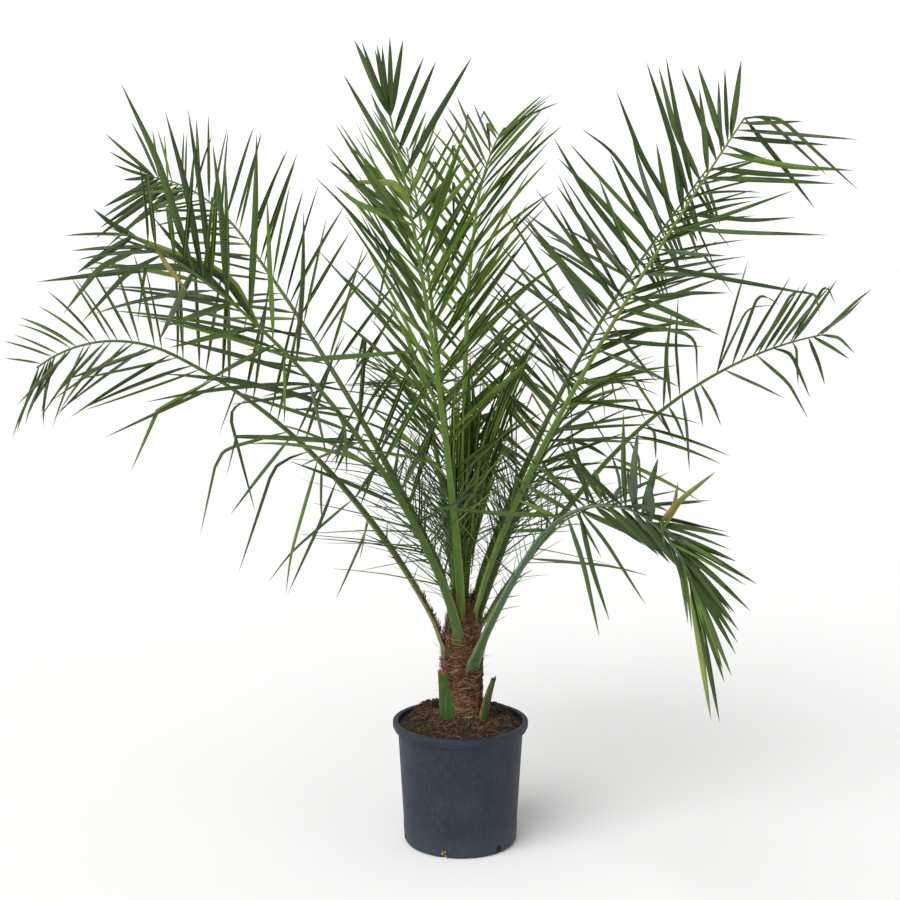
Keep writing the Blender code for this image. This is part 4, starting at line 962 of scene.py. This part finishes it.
def ribFrame(heading, rise, rolls, s):
    e = math.radians(along(tuple(zip(crown["stations"], rise)), s))
    h = math.radians(heading)
    tangent = Vector((math.cos(e) * math.cos(h), math.cos(e) * math.sin(h), math.sin(e)))
    upper = Vector((-math.sin(e) * math.cos(h), -math.sin(e) * math.sin(h), math.cos(e)))
    lateral = tangent.cross(upper)
    roll = math.radians(along(rolls, s))
    turned = upper * math.cos(roll) - lateral * math.sin(roll)
    return tangent, turned, lateral * math.cos(roll) + upper * math.sin(roll)


def growRib(origin, heading, turn, rise, length, rolls):       # rows of point, tangent, upper and lateral
    steps = crown["ribSteps"]
    point = Vector(origin)
    rows = []
    for i in range(steps + 1):
        s = i / steps
        rows.append((point.copy(), *ribFrame(heading + turn * s, rise, rolls, s)))
        middle = (i + 0.5) / steps
        point += ribFrame(heading + turn * middle, rise, rolls, middle)[0] * (length / steps)
    return rows


def ribAt(rib, s):
    x = min(max(s, 0.0), 1.0) * crown["ribSteps"]
    i = min(int(x), crown["ribSteps"] - 1)
    return tuple(a.lerp(b, x - i) for a, b in zip(rib[i], rib[i + 1]))


def frondRib(frond):
    seat = math.radians(frond["seat"])
    radius = stemRadius(frond["seatZ"]) - stem["seatDepth"]
    origin = (stem["x"] + radius * math.cos(seat), radius * math.sin(seat), frond["seatZ"])
    low, high = frond["roll"]
    rolls = ((0.0, frond["heading"] - frond["seat"]), (frond["first"], low), (1.0, high))
    return growRib(origin, frond["heading"], frond["turn"], frond["rise"], frond["length"], rolls)


def ribHalves(frond, s):        # half width and half thickness
    full = mix(frond["base"], crown["ribFull"], min(s / crown["ribFullAt"], 1.0)) * frond.get("stout", 1.0)
    return full * along(crown["ribWidth"], s) / 2, along(crown["ribThick"], s) / 2


def ribSection(frond, rib, s):  # rounded below, channelled above, keeled towards the tip
    point, tangent, upper, lateral = ribAt(rib, s)
    wide, thick = ribHalves(frond, s)
    ring = []
    for k in range(crown["ribSides"]):
        a = 2 * math.pi * k / crown["ribSides"]
        x, y = math.cos(a), math.sin(a)
        if y > 0:
            channel = mix(0.35, 0.0, min(1, s * 2.2)) * math.exp(-(x / 0.45) ** 2)
            y = y * mix(0.55, 1.0, min(1, s * 2)) - channel
        else:
            y *= 1.05
        ring.append(point + lateral * wide * x + upper * thick * y)
    return ring


def sheathSection(frond, z, width, thick):      # crescent that hugs the stem
    half = math.degrees(width / 2 / stemRadius(z))
    ring = []
    for k in range(crown["ribSides"]):
        a = 2 * math.pi * k / crown["ribSides"]
        x, y = math.cos(a), math.sin(a)
        lift = -0.004 * y if y > 0 else thick * -y
        ring.append(onStem(frond["seat"] - x * half, z, lift))
    return ring


def makeRib(frond, rib, rind):
    rings = []
    run = []
    sides = crown["ribSides"]
    drop, widen = frond["sheath"]
    rows = crown["sheathRows"]
    for k in range(rows if drop else 0):
        t = k / rows
        rings.append(sheathSection(frond, frond["seatZ"] - drop * (1 - t), frond["base"] * mix(widen, 1.0, t),
                                   mix(0.002, 0.0075, t)))
        run.append(0.0)
    for k in range(crown["blendRows"]):
        t = k / crown["blendRows"]
        s = crown["blendEnd"] * t
        point = ribAt(rib, s)[0]
        hugging = sheathSection(frond, point.z, ribHalves(frond, s)[0] * 2, 0.0080)
        free = ribSection(frond, rib, s)
        share = t * t * (3 - 2 * t)
        rings.append([a.lerp(b, share) for a, b in zip(hugging, free)])
        run.append(s)
    for k in range(crown["freeRows"]):
        s = mix(crown["blendEnd"], 1.0, k / (crown["freeRows"] - 1))
        rings.append(ribSection(frond, rib, s))
        run.append(s)
    points = [p for ring in rings for p in ring]
    edgeShare = [abs(math.cos(2 * math.pi * k / sides)) for k in range(sides)]
    uvs = [(edgeShare[k], s) for s in run for k in range(sides)]
    faces = wallFaces(0, len(rings), sides) + endFaces(0, len(rings), sides)
    piece = addPiece("rib_" + frond["name"], points, faces, [rind], uvs=uvs, sharpAngle=60)
    dress(piece, "palm_leaf", *frond["nodes"])


def addTube(points, faces, owners, owner, rib, rings, halvesAt):       # four sides along a rib
    first = len(points)
    for i in range(rings):
        s = i / (rings - 1)
        point, tangent, upper, lateral = ribAt(rib, s)
        wide, thick = halvesAt(s)
        points += [point + lateral * wide, point + upper * thick,
                   point - lateral * wide, point - upper * thick]
    walls = wallFaces(first, rings, 4)
    faces += walls
    owners += [owner] * len(walls)


def limbTree(ribs):             # thin tubes of every rib and spear, to keep leaflets off them
    points, faces, owners = [], [], []
    for n, (frond, rib) in enumerate(ribs):
        addTube(points, faces, owners, n, rib, crown["tubeRings"], lambda s: ribHalves(frond, s))
    for spear in spears:
        addTube(points, faces, owners, -1, spearRib(spear), bundle["rings"],
                lambda s: (spearRadius(spear, s), spearRadius(spear, s)))
    return BVHTree.FromPolygons(points, faces), owners


def meetsLimb(path, tree, owners, own):         # its own rib doesn't count at the leaflet's foot
    for i, (a, b) in enumerate(zip(path, path[1:])):
        run = b - a
        hit = tree.ray_cast(a, run.normalized(), run.length)
        if hit[0] is not None and (owners[hit[2]] != own or i > 2):
            return True
    return False


def leafletPath(root, direction, ahead, length, drop, sweep, kink, kinkWay):    # bowed, bent over at a kink
    def bow(t):
        return root + direction * length * t - up * drop * t * t + ahead * sweep * length * t * t
    path = []
    for t in sorted({*crown["bladeStops"], kink}):
        bent = kink and t > kink
        path.append((t, bow(kink) + kinkWay * length * (t - kink) if bent else bow(t)))
    return path


def laidPath(root, first, length, second, bentLength):     # two straight legs with a rounded crease between
    whole = length + bentLength
    crease = length / whole
    soft = min(crown["softBend"], crease * 0.5, (1 - crease) * 0.5)
    path = []
    for t in sorted({*crown["bladeStops"], crease - soft, crease, crease + soft}):
        if abs(t - crease) < soft:
            w = (t - crease + soft) / (2 * soft)
            reach = first * (crease - soft * (1 - w) ** 2) + second * soft * w * w
        else:
            reach = first * min(t, crease) + second * max(0.0, t - crease)
        path.append((t, root + reach * whole))
    return path


def addLeaflet(store, path, wide, width, fold, shade, tipShade=None):
    points, faces, slots, uvs = store       # five points to a row: edge, midrib, midrib, edge and keel
    first = len(points)
    run = 0.0
    for i, (t, point) in enumerate(path):
        ahead = (path[min(i + 1, len(path) - 1)][1] - path[max(i - 1, 0)][1]).normalized()
        across = (wide - ahead * wide.dot(ahead)).normalized()
        over = ahead.cross(across)
        half = width / 2 * along(crown["bladeWidth"], t)
        rib = min(crown["midrib"], half * 0.25)
        tilt = math.radians(mix(fold + 22, fold, min(1, t * 4)))
        reach, rise = half * math.cos(tilt), half * math.sin(tilt)
        keel = crown["keel"] * along(crown["bladeWidth"], t)
        if i:
            run += (point - path[i - 1][1]).length
        points += [point + across * reach + over * rise, point + across * rib, point - across * rib,
                   point - across * reach + over * rise, point - over * keel]
        uvs += [(half, run), (rib, run), (-rib, run), (-half, run), (0.0, run)]
    for i in range(len(path) - 1):
        named = tipShade if tipShade and path[i][0] > 0.8 else shade
        slot = shadeNames.index(named) * 3
        a, b = first + i * 5, first + i * 5 + 5
        faces += [(a, a + 1, b + 1, b), (a + 1, a + 2, b + 2, b + 1), (a + 2, a + 3, b + 3, b + 2),
                  (a + 3, a + 4, b + 4, b + 3), (a + 4, a, b, b + 4)]
        # one half of the upper face in the lit copy, the other half in the painted-shade copy
        slots += [slot, midribSlot, slot + 1, slot + 2, slot + 2]
    end = first + (len(path) - 1) * 5
    faces += [tuple(first + k for k in (4, 3, 2, 1, 0)), tuple(end + k for k in range(5))]
    slots += [slot + 2, slot + 2]


def makeLeaflets(frond, rib, own, limbs, materials, draw):
    store = ([], [], [], [])
    count = frond["count"]
    names, weights = zip(*frond["shades"].items())
    skipped = 0
    for k in range(count):
        for side in (1, -1):
            hand = 0 if side > 0 else 1
            pair = 0.20 if (k + hand) % 2 else -0.20        # leaflets stand in loose pairs
            u = min(max((k + 0.5 + 0.25 * side + pair) / count, 0.0), 1.0)
            s = mix(frond["first"], crown["lastLeaflet"], u ** frond["crowding"])
            point, tangent, upper, lateral = ribAt(rib, s)
            wide, thick = ribHalves(frond, s)
            past = max(0.0, (u - crown["taperFrom"]) / (1 - crown["taperFrom"]))
            taper = mix(1.0, frond["tips"][hand], past)
            length = frond["leaf"] * frond["sides"][hand] * along(crown["leafletLength"], u) * taper
            length *= draw.uniform(*crown["lengths"])
            drop = 2 * mix(*frond["droop"][hand], u) * draw.uniform(*crown["droops"]) * length
            sweep = draw.uniform(*crown["sweeps"])
            fromU, toU = frond["kinked"][2:]
            bends = fromU <= u <= toU and draw.random() < frond["kinked"][hand]
            kink = draw.uniform(*crown["kinks"]) if bends else 0.0
            turned = Vector((draw.uniform(-0.3, 0.3), draw.uniform(-0.3, 0.3), 0))
            shade = draw.choices(names, weights)[0]
            tipShade = draw.choices((None, "grey", "straw"), (4, 4, 1))[0]
            twist = math.radians(draw.uniform(*crown["twists"])) * side
            fold = draw.uniform(*crown["folds"])
            jitter = draw.uniform(*crown["jitters"])
            rank = draw.choice(crown["ranks"]) * mix(1.0, 0.5, u)
            lift = math.radians(mix(*frond["lift"], u) + rank + draw.uniform(-5, 5))
            broad = frond["broad"] * draw.uniform(*crown["widths"]) * min(1.0, 0.6 + length * 1.2)
            root = point + lateral * side * wide * 0.55 + upper * thick * 0.25
            if any(hand == bareHand and a <= u < b for bareHand, a, b in frond.get("bare", ())):
                continue
            for swing in crown["swings"]:       # swung aside until it clears the other limbs
                spread = math.radians(mix(*frond["spread"][hand], u ** 1.2) + jitter + swing)
                out = lateral * side * math.cos(lift) + upper * math.sin(lift)
                direction = tangent * math.cos(spread) + out * math.sin(spread)
                kinkWay = (direction * 0.35 - up * 0.9 + tangent * 0.1 + turned).normalized()
                path = leafletPath(root, direction, tangent, length, drop, sweep, kink, kinkWay)
                if not meetsLimb([p for t, p in path], *limbs, own):
                    break
            else:
                skipped += 1
                continue
            across = tangent - direction * tangent.dot(direction)
            across = Matrix.Rotation(twist, 3, direction) @ across.normalized()
            addLeaflet(store, path, across, broad, fold, shade, tipShade)
    for s, angle, length, bentAngle, bentLength, broad, shade in frond.get("laid", ()):
        point, tangent, upper, lateral = ribAt(rib, s)
        across = Vector((math.sin(math.radians(angle)), 0, -math.cos(math.radians(angle))))
        twist = draw.uniform(-0.6, 0.6)
        fold = draw.uniform(*crown["laidFolds"])
        tipShade = draw.choice((None, "grey"))
        drawn = draw.uniform(-0.3, 0.3)
        forward = frond.get("forward", 0.0) * max(0.0, s - 0.6) / 0.4
        stretch = math.hypot(1.0, forward) * mix(1.0, 0.86, forward)
        for lean in (drawn - forward, -drawn - forward, *crown["leans"]):
            first, second = [Vector((math.cos(math.radians(a)), lean, math.sin(math.radians(a)))).normalized()
                             for a in (angle - 6 * forward, bentAngle - 6 * forward)]
            path = laidPath(point + upper * ribHalves(frond, s)[1] * 0.2, first, length * stretch, second,
                            bentLength * stretch)
            if not meetsLimb([p for t, p in path], *limbs, own):
                addLeaflet(store, path, across + Vector((0, twist, 0)), broad, fold, shade, tipShade)
                break
        else:
            skipped += 1
    points, faces, slots, uvs = store
    piece = addPiece("leaflets_" + frond["name"], points, faces, materials, slots, uvs, sharpAngle=35)
    dress(piece, "palm_leaf", *frond["nodes"])
    return skipped


def makeFringes(ribs):          # torn sheath fibre up the petioles' edges and over their feet
    draw = random.Random(crown["seed"] + 2)
    points, faces, slots = [], [], []
    for frond, rib in ribs:
        end = frond.get("fringe", crown["fringe"])
        for k in range(round(crown["fringeThreads"] + crown["fringeGain"] * (end - crown["fringe"]))):
            s = draw.uniform(0.0, end)
            point, tangent, upper, lateral = ribAt(rib, s)
            wide, thick = ribHalves(frond, s)
            side = draw.choice((-1, 1))
            root = (point + lateral * side * wide * draw.uniform(0.6, 0.95)
                    + upper * thick * draw.uniform(0.1, 0.8))
            out = (tangent * draw.uniform(0.5, 1.0) + upper * draw.uniform(0.0, 0.6)
                   + lateral * side * draw.uniform(-0.3, 0.5))
            length = draw.uniform(*crown["fringeLength"])
            path = [root + out.normalized() * length * t + upper * 0.002 * math.sin(3 * t)
                    for t in (0, 0.3, 0.6, 1)]
            kind = draw.choice((0, 0, 1))
            slots += [kind] * addStrand(points, faces, path, draw.uniform(0.0006, 0.0013), 0.4)
        for k in range(crown["lapThreads"]):        # threads of the mat that lap over the foot
            azimuth = frond["seat"] + draw.uniform(-30, 6)
            z = frond["seatZ"] - frond["sheath"][0] + draw.uniform(-0.012, 0.016)
            span = draw.uniform(14, 44)
            path = []
            for t in (0, 0.2, 0.4, 0.6, 0.8, 1):
                height = z + draw.uniform(-0.001, 0.001) - 0.012 * t * (k % 3 - 1)
                height = max(0.33, min(0.60, height))
                path.append(onStem(azimuth + span * t, height, 0.0030 + 0.0085 * math.sin(math.pi * t)))
            kind = draw.choice((0, 1, 2))
            slots += [kind] * addStrand(points, faces, path, draw.uniform(0.0004, 0.0009), 0.5)
    threads = [fibreStuff("dark torn fibre", "#22150d", "#4a3020"),
               fibreStuff("brown torn fibre", "#573823", "#85603f"),
               fibreStuff("pale torn fibre", "#80603f", "#b0906a")]
    dress(addPiece("petiole_fringes", points, faces, threads, slots), "stem_fibre")


def stiffPath(frond, rib, s, side, spread, lift, length, sag):      # out from the petiole's edge
    point, tangent, upper, lateral = ribAt(rib, s)
    spread, lift = math.radians(spread), math.radians(lift)
    out = lateral * side * math.cos(lift) + upper * math.sin(lift)
    direction = tangent * math.cos(spread) + out * math.sin(spread)
    root = point + lateral * side * ribHalves(frond, s)[0] * 0.75
    return [root + direction * length * f - up * length * sag * f * f for f in crown["spineStops"]]


def makeSpines(ribs, limbs, materials):
    draw = random.Random(crown["seed"] + 1)
    points, faces, slots = [], [], []
    for own, (frond, rib) in enumerate(ribs):
        count = frond.get("spines", crown["spines"])
        longest = frond.get("spineEnd", crown["spineEnd"])
        for k in range(count):
            for side in (1, -1):
                t = (k + draw.uniform(0.1, 0.9)) / count
                s = mix(crown["spineFrom"], frond["first"] - 0.004, t)
                spread = draw.uniform(*crown["spineSpread"])
                lift = draw.uniform(*crown["spineLift"])
                length = mix(crown["spineStart"], longest, t) * draw.uniform(0.4, 1.3)
                path = stiffPath(frond, rib, s, side, spread, lift, length, crown["spineSag"])
                if meetsLimb(path, *limbs, own):
                    continue
                thick = mix(*crown["spineRadius"], t * t)
                made = addStrand(points, faces, path, thick, crown["stiffTip"], 4)
                kind = draw.choices((0, 1, 3), (4, 1.6 * (1 - t), 3))[0]
                slots += [kind] * (made - 6) + [2] * 4 + [kind, 2]
        for k in range(frond.get("crossers", 0)):       # the lowest leaflets, long, narrow and stiff
            s = mix(crown["crosserFrom"], frond["first"], draw.random() ** 0.7)
            side = draw.choice((-1, 1))
            spread = draw.uniform(*crown["crosserSpread"])
            lift = draw.uniform(*crown["crosserLift"])
            length = draw.uniform(*crown["crosserLength"])
            path = stiffPath(frond, rib, s, side, spread, lift, length, crown["crosserSag"])
            if meetsLimb(path, *limbs, own):
                continue
            thick = draw.uniform(*crown["crosserRadius"])
            made = addStrand(points, faces, path, thick, crown["stiffTip"], 4)
            slots += [draw.choice((0, 3, 3))] * made
    piece = addPiece("petiole_spines", points, faces, materials, slots)
    dress(piece, "palm_leaf")


# Spears: unopened leaves, a tight bundle of folded leaflets, bright and waxy, with a few tips free.
spears = [
    dict(name="centre", node="spear_centre", heading=30, foot=(0.001, -0.001, 0.622),
         rise=(89, 89, 88, 87, 86), length=0.60, girth=0.024, wraps=64, loose=1.45),
    dict(name="right", node="spear_right", heading=340, foot=(0.0155, -0.004, 0.612),
         rise=(88, 86, 80, 66, 56), length=0.74, girth=0.019, wraps=52, loose=1.35),
]
bundle = dict(girth=((0.0, 0.26), (0.2, 0.36), (0.4, 0.85), (0.6, 1.0), (0.8, 0.72), (1.0, 0.06)),
              packed=0.80, rings=25, pleats=20, pleatDepth=0.80, wrapFrom=(0.10, 0.62),
              wrapReach=(0.28, 0.50), freeShare=0.45, freeLift=0.030, wrapWidth=(0.007, 0.011), wrapFold=38)


def spearRib(spear):
    noRoll = ((0.0, 0.0), (1.0, 0.0))
    return growRib(spear["foot"], spear["heading"], 0.0, spear["rise"], spear["length"], noRoll)


def spearRadius(spear, s):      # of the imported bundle, under its loose leaflets
    return spear["girth"] * along(bundle["girth"], s) * bundle["packed"]


def makeSpear(spear, materials, draw):
    rib = spearRib(spear)
    rings, pleats = bundle["rings"], bundle["pleats"]
    store = ([], [], [], [])
    points, faces, slots, uvs = store
    for i in range(rings):
        s = i / (rings - 1)
        point, tangent, upper, lateral = ribAt(rib, s)
        radius = spearRadius(spear, s)
        for k in range(pleats):
            a = 2 * math.pi * k / pleats
            pleat = 1.0 if k % 2 else bundle["pleatDepth"]
            around = lateral * math.cos(a + s) + upper * 0.8 * math.sin(a + s)
            points.append(point + around * radius * pleat)
            uvs.append((0.003 * k, 0.0))
    faces += wallFaces(0, rings, pleats) + endFaces(0, rings, pleats)
    for i in range(rings - 1):
        # every other pleat face in the darker green: painted shade on one flank of each fold
        slots += [shadeNames.index("mid" if k % 2 else "deep") * 3 for k in range(pleats)]
    slots += [0, 0]
    for k in range(spear["wraps"]):     # leaflets that lie along it, and its free tips
        s0 = draw.uniform(*bundle["wrapFrom"])
        around = draw.uniform(0, 2 * math.pi)
        reachS = draw.uniform(*bundle["wrapReach"])
        free = draw.random() < bundle["freeShare"]
        stand = draw.uniform(0.80, spear["loose"])
        path = []
        for t in crown["bladeStops"]:
            s = min(1.0, s0 + reachS * t)
            point, tangent, upper, lateral = ribAt(rib, s)
            out = lateral * math.cos(around + s * 0.4) + upper * math.sin(around + s * 0.4)
            lift = spear["girth"] * along(bundle["girth"], s) * stand
            lift += (bundle["freeLift"] * t * t if free else 0.0)
            past = max(0.0, s0 + reachS * t - 1.0)
            path.append((t, point + out * lift + tangent * past * spear["length"]))
        point, tangent, upper, lateral = ribAt(rib, s0)
        across = lateral * -math.sin(around) + upper * math.cos(around)
        shade = draw.choices(("fresh", "mid", "yellow", "deep"), (4, 4, 0.6, 4))[0]
        addLeaflet(store, path, across, draw.uniform(*bundle["wrapWidth"]), bundle["wrapFold"], shade, "grey")
    piece = addPiece("bundle_" + spear["name"], points, faces, materials, slots, uvs, sharpAngle=35)
    dress(piece, "young_leaf", spear["node"])


# Old leaf bases: green rind with a torn, dried end. Rows are height, outward lean, width, thickness.
stubs = [
    dict(name="left", node="leaf_base_left", azimuth=226, distance=0.0605, bend=0.013, aside=-0.015,
         rag=0.010, end="cut",
         strip=((-0.012, 0.0, 0.058, 0.0150), (0.0, 0.0, 0.060, 0.0150), (0.045, 0.001, 0.052, 0.0125),
                (0.095, 0.003, 0.037, 0.0100), (0.134, 0.006, 0.023, 0.0080))),
    dict(name="right", node="leaf_base_right", azimuth=328, distance=0.0650, bend=0.007, aside=0.017,
         rag=0.009, end="dried",
         strip=((-0.012, 0.0, 0.042, 0.0150), (0.0, 0.0, 0.042, 0.0150), (0.040, 0.005, 0.036, 0.0120),
                (0.080, 0.013, 0.026, 0.0095), (0.114, 0.022, 0.011, 0.0055))),
    dict(name="front", node="leaf_base_front", azimuth=285, distance=0.0600, bend=0.002, aside=0.0,
         rag=0.005, end="pale",
         strip=((-0.010, 0.0, 0.024, 0.0110), (0.0, 0.0, 0.024, 0.0110), (0.012, 0.001, 0.023, 0.0105),
                (0.021, 0.002, 0.021, 0.0095))),
]
husk = dict(rows=26, sides=24, rough=0.0008, tearFrom=0.86, tearWave=0.35, hollow=0.003, seed=21)


def stubRind(name, low, high):
    material, tree, shader = newMaterial(name, low, 0.5)
    shader.inputs["Specular IOR Level"].default_value = 0.3         # dull wax
    place = addNode(tree, "ShaderNodeTexCoord").outputs["Object"]
    stretched = addNode(tree, "ShaderNodeMapping", {"Scale": (1.0, 1.0, 0.15)}, {"Vector": place})
    lines = addNode(tree, "ShaderNodeTexNoise", {"Scale": perMetre(4), "Detail": 4.0},
                    {"Vector": stretched.outputs["Vector"]})
    tone = addNode(tree, "ShaderNodeValToRGB", {"stops": [(0.35, low), (0.68, high)]},
                   {"Fac": lines.outputs["Fac"]})
    tree.links.new(tone.outputs["Color"], shader.inputs["Base Color"])
    bump = addNode(tree, "ShaderNodeBump", {"Strength": 0.4, "Distance": 0.0006},
                   {"Height": lines.outputs["Fac"]})
    tree.links.new(bump.outputs["Normal"], shader.inputs["Normal"])
    return material


def makeStubs():
    draw = random.Random(husk["seed"])
    rinds = dict(cut=stubRind("cut petiole rind", "#28440f", "#3c601f"),
                 dried=stubRind("drying petiole rind", "#283f12", "#405826"),
                 pale=stubRind("low petiole rind", "#26351e", "#3c4c2c"))
    ends = dict(cut=fibreStuff("cut petiole end", "#5a3018", "#93552f"),
                dried=fibreStuff("dried petiole tip", "#1e1715", "#4a3c34"),
                pale=fibreStuff("bleached petiole end", "#6b5d4a", "#a8987f"))
    edge = fibreStuff("torn petiole edge", "#5a3e28", "#8f6a48")
    rows, sides = husk["rows"], husk["sides"]
    edges = (0, sides - 1, sides // 2, sides // 2 - 1, sides // 2 - 2, sides // 2 + 1)
    for stub in stubs:
        a = math.radians(stub["azimuth"])
        outward = Vector((math.cos(a), math.sin(a), 0))
        across = Vector((-math.sin(a), math.cos(a), 0))
        heights = [row[0] for row in stub["strip"]]
        lean, width, thick = ([(row[0], row[n]) for row in stub["strip"]] for n in (1, 2, 3))
        points, slots = [], []
        ragged = []
        for k in range(sides):
            wave = noise.noise(Vector((k * 0.9, stub["azimuth"], 0)))
            ragged.append(stub["rag"] * (wave + draw.uniform(-husk["tearWave"], husk["tearWave"])))
        for i in range(rows + 1):
            t = i / rows
            height = mix(heights[0], heights[-1], t)
            w, d = along(width, height), along(thick, height)
            out = stub["distance"] + along(lean, height)
            for k in range(sides):
                angle = 2 * math.pi * k / sides
                x = math.copysign(abs(math.cos(angle)) ** 0.8, math.cos(angle))
                y = math.sin(angle)
                rough = noise.noise(Vector((k * 0.5, height * 40, stub["azimuth"]))) * husk["rough"]
                centre = Vector((stem["x"], 0, stem["soilZ"] + height)) + outward * out
                centre += across * stub["aside"] * max(0.0, height) / heights[-1]
                reach = y * d / 2 + rough - stub["bend"] * x * x
                tear = up * ragged[k] * max(0, (t - husk["tearFrom"]) / 0.14)
                points.append(centre + across * (x * w / 2) + outward * reach + tear)
        faces = wallFaces(0, rows + 1, sides)
        for i in range(rows):
            for k in range(sides):
                torn = rows * (0.93 + 0.12 * noise.noise(Vector((k * 0.8, 3, stub["azimuth"]))))
                slots.append(1 if i > torn else (2 if k in edges else 0))
        top = len(points)
        middle = sum((points[rows * sides + k] for k in range(sides)), Vector()) / sides
        points.append(middle - up * husk["hollow"])
        faces += [(rows * sides + k, rows * sides + (k + 1) % sides, top) for k in range(sides)]
        slots += [1] * sides
        faces.append(tuple(reversed(range(sides))))
        slots.append(0)
        stuff = [rinds[stub["end"]], ends[stub["end"]], edge]
        dress(addPiece("old_base_" + stub["name"], points, faces, stuff, slots), "leaf_base", stub["node"])
    print("leaf bases done")


def makeCrown():
    draw = random.Random(crown["seed"])
    rinds = dict(green=ribRind("green rachis rind", "#3f5a20", "#41581f", "#55692c", "#73803c"),
                 olive=ribRind("olive rachis rind", "#58683a", "#425a2a", "#45602a", "#857c48"),
                 bright=ribRind("young rachis rind", "#47671b", "#527221", "#5f7c30", "#82903f"),
                 blue=ribRind("bluish rachis rind", "#3c5a2b", "#465f4b", "#46613c", "#7a8564"))
    blades = []
    for shade, (lit, other, back) in leafShades.items():
        # a lit copy and a darker copy of each green, painted light and painted shade for the two halves of
        # the fold
        blades.append(leafBlade(shade + " leaf painted lit half", lit, 0.46))
        blades.append(leafBlade(shade + " leaf painted shade half", other, 0.46))
        blades.append(leafBlade(shade + " leaf back", back, 0.52))
    blades.append(leafBlade("leaf midrib", "#6f8238", 0.44))
    ribs = [(frond, frondRib(frond)) for frond in fronds]
    limbs = limbTree(ribs)
    for own, (frond, rib) in enumerate(ribs):
        makeRib(frond, rib, rinds[frond["rind"]])
        skipped = makeLeaflets(frond, rib, own, limbs, blades, draw)
        print("frond", frond["name"], "skipped", skipped)
    spineStuff = [fibreStuff("green spine", "#3a581a", "#557430", 0.5),
                  fibreStuff("pale spine", "#6f7a34", "#929248", 0.5),
                  fibreStuff("spine tip", "#4a4a24", "#6c6a34", 0.6),
                  fibreStuff("dark spine", "#22341a", "#384e2a", 0.5)]
    makeSpines(ribs, limbs, spineStuff)
    makeFringes(ribs)
    for spear in spears:
        makeSpear(spear, blades, draw)
    print("crown done")


# Studio: pale floor, a sky that is white at the horizon and softer overhead, and one broad soft sun.
studio = dict(cameraAt=(-0.0265, -3.9, 1.55), pitch=7.95, focalPixels=1588.0, framePixels=900,
              floor="#f7f7f6", floorHalf=60,
              horizon=1.08, zenith=0.50, sun=2.2, sunSpread=46.0, sunFrom=(-0.50, -0.62, 0.95))


def makeStudio():
    floorPaint, tree, shader = newMaterial("matt studio floor", studio["floor"], 0.9)
    shader.inputs["Specular IOR Level"].default_value = 0.0
    half = studio["floorHalf"]
    corners = [(-half, -half, 0), (half, -half, 0), (half, half, 0), (-half, half, 0)]
    addPiece("studio_floor", corners, [(0, 1, 2, 3)], [floorPaint], smooth=False)
    world = bpy.data.worlds.new("soft studio sky")
    world.use_nodes = True
    sky = world.node_tree
    direction = addNode(sky, "ShaderNodeTexCoord").outputs["Generated"]
    height = addNode(sky, "ShaderNodeSeparateXYZ", {}, {"Vector": direction})
    strength = addNode(sky, "ShaderNodeMapRange",
                       {"From Min": 0.10, "From Max": 0.45, "To Min": studio["horizon"],
                        "To Max": studio["zenith"]},
                       {"Value": height.outputs["Z"]})
    sky.nodes["Background"].inputs["Color"].default_value = (1, 1, 1, 1)
    sky.links.new(strength.outputs["Result"], sky.nodes["Background"].inputs["Strength"])
    bpy.context.scene.world = world
    data = bpy.data.lights.new("soft sun", "SUN")
    data.energy = studio["sun"]
    data.angle = math.radians(studio["sunSpread"])
    light = bpy.data.objects.new("soft sun", data)
    light.location = studio["sunFrom"]
    light.rotation_euler = (-Vector(studio["sunFrom"])).to_track_quat("-Z", "Y").to_euler()
    bpy.context.scene.collection.objects.link(light)
    data = bpy.data.cameras.new("camera")
    data.sensor_width = 36.0
    data.lens = studio["focalPixels"] / studio["framePixels"] * data.sensor_width
    camera = bpy.data.objects.new("camera", data)
    camera.location = studio["cameraAt"]
    camera.rotation_euler = (math.radians(90 - studio["pitch"]), 0, 0)
    bpy.context.scene.collection.objects.link(camera)
    bpy.context.scene.camera = camera
    bpy.context.scene.view_settings.view_transform = "Standard"
    print("studio done")


makeStudio()
makePot()
makeSoil()
makeCrumbs()
makeStraw()
makeMoss()
makeDrainRoots()
makeStem()
makeStrands()
makeMargins()
makeStubs()
makeCrown()
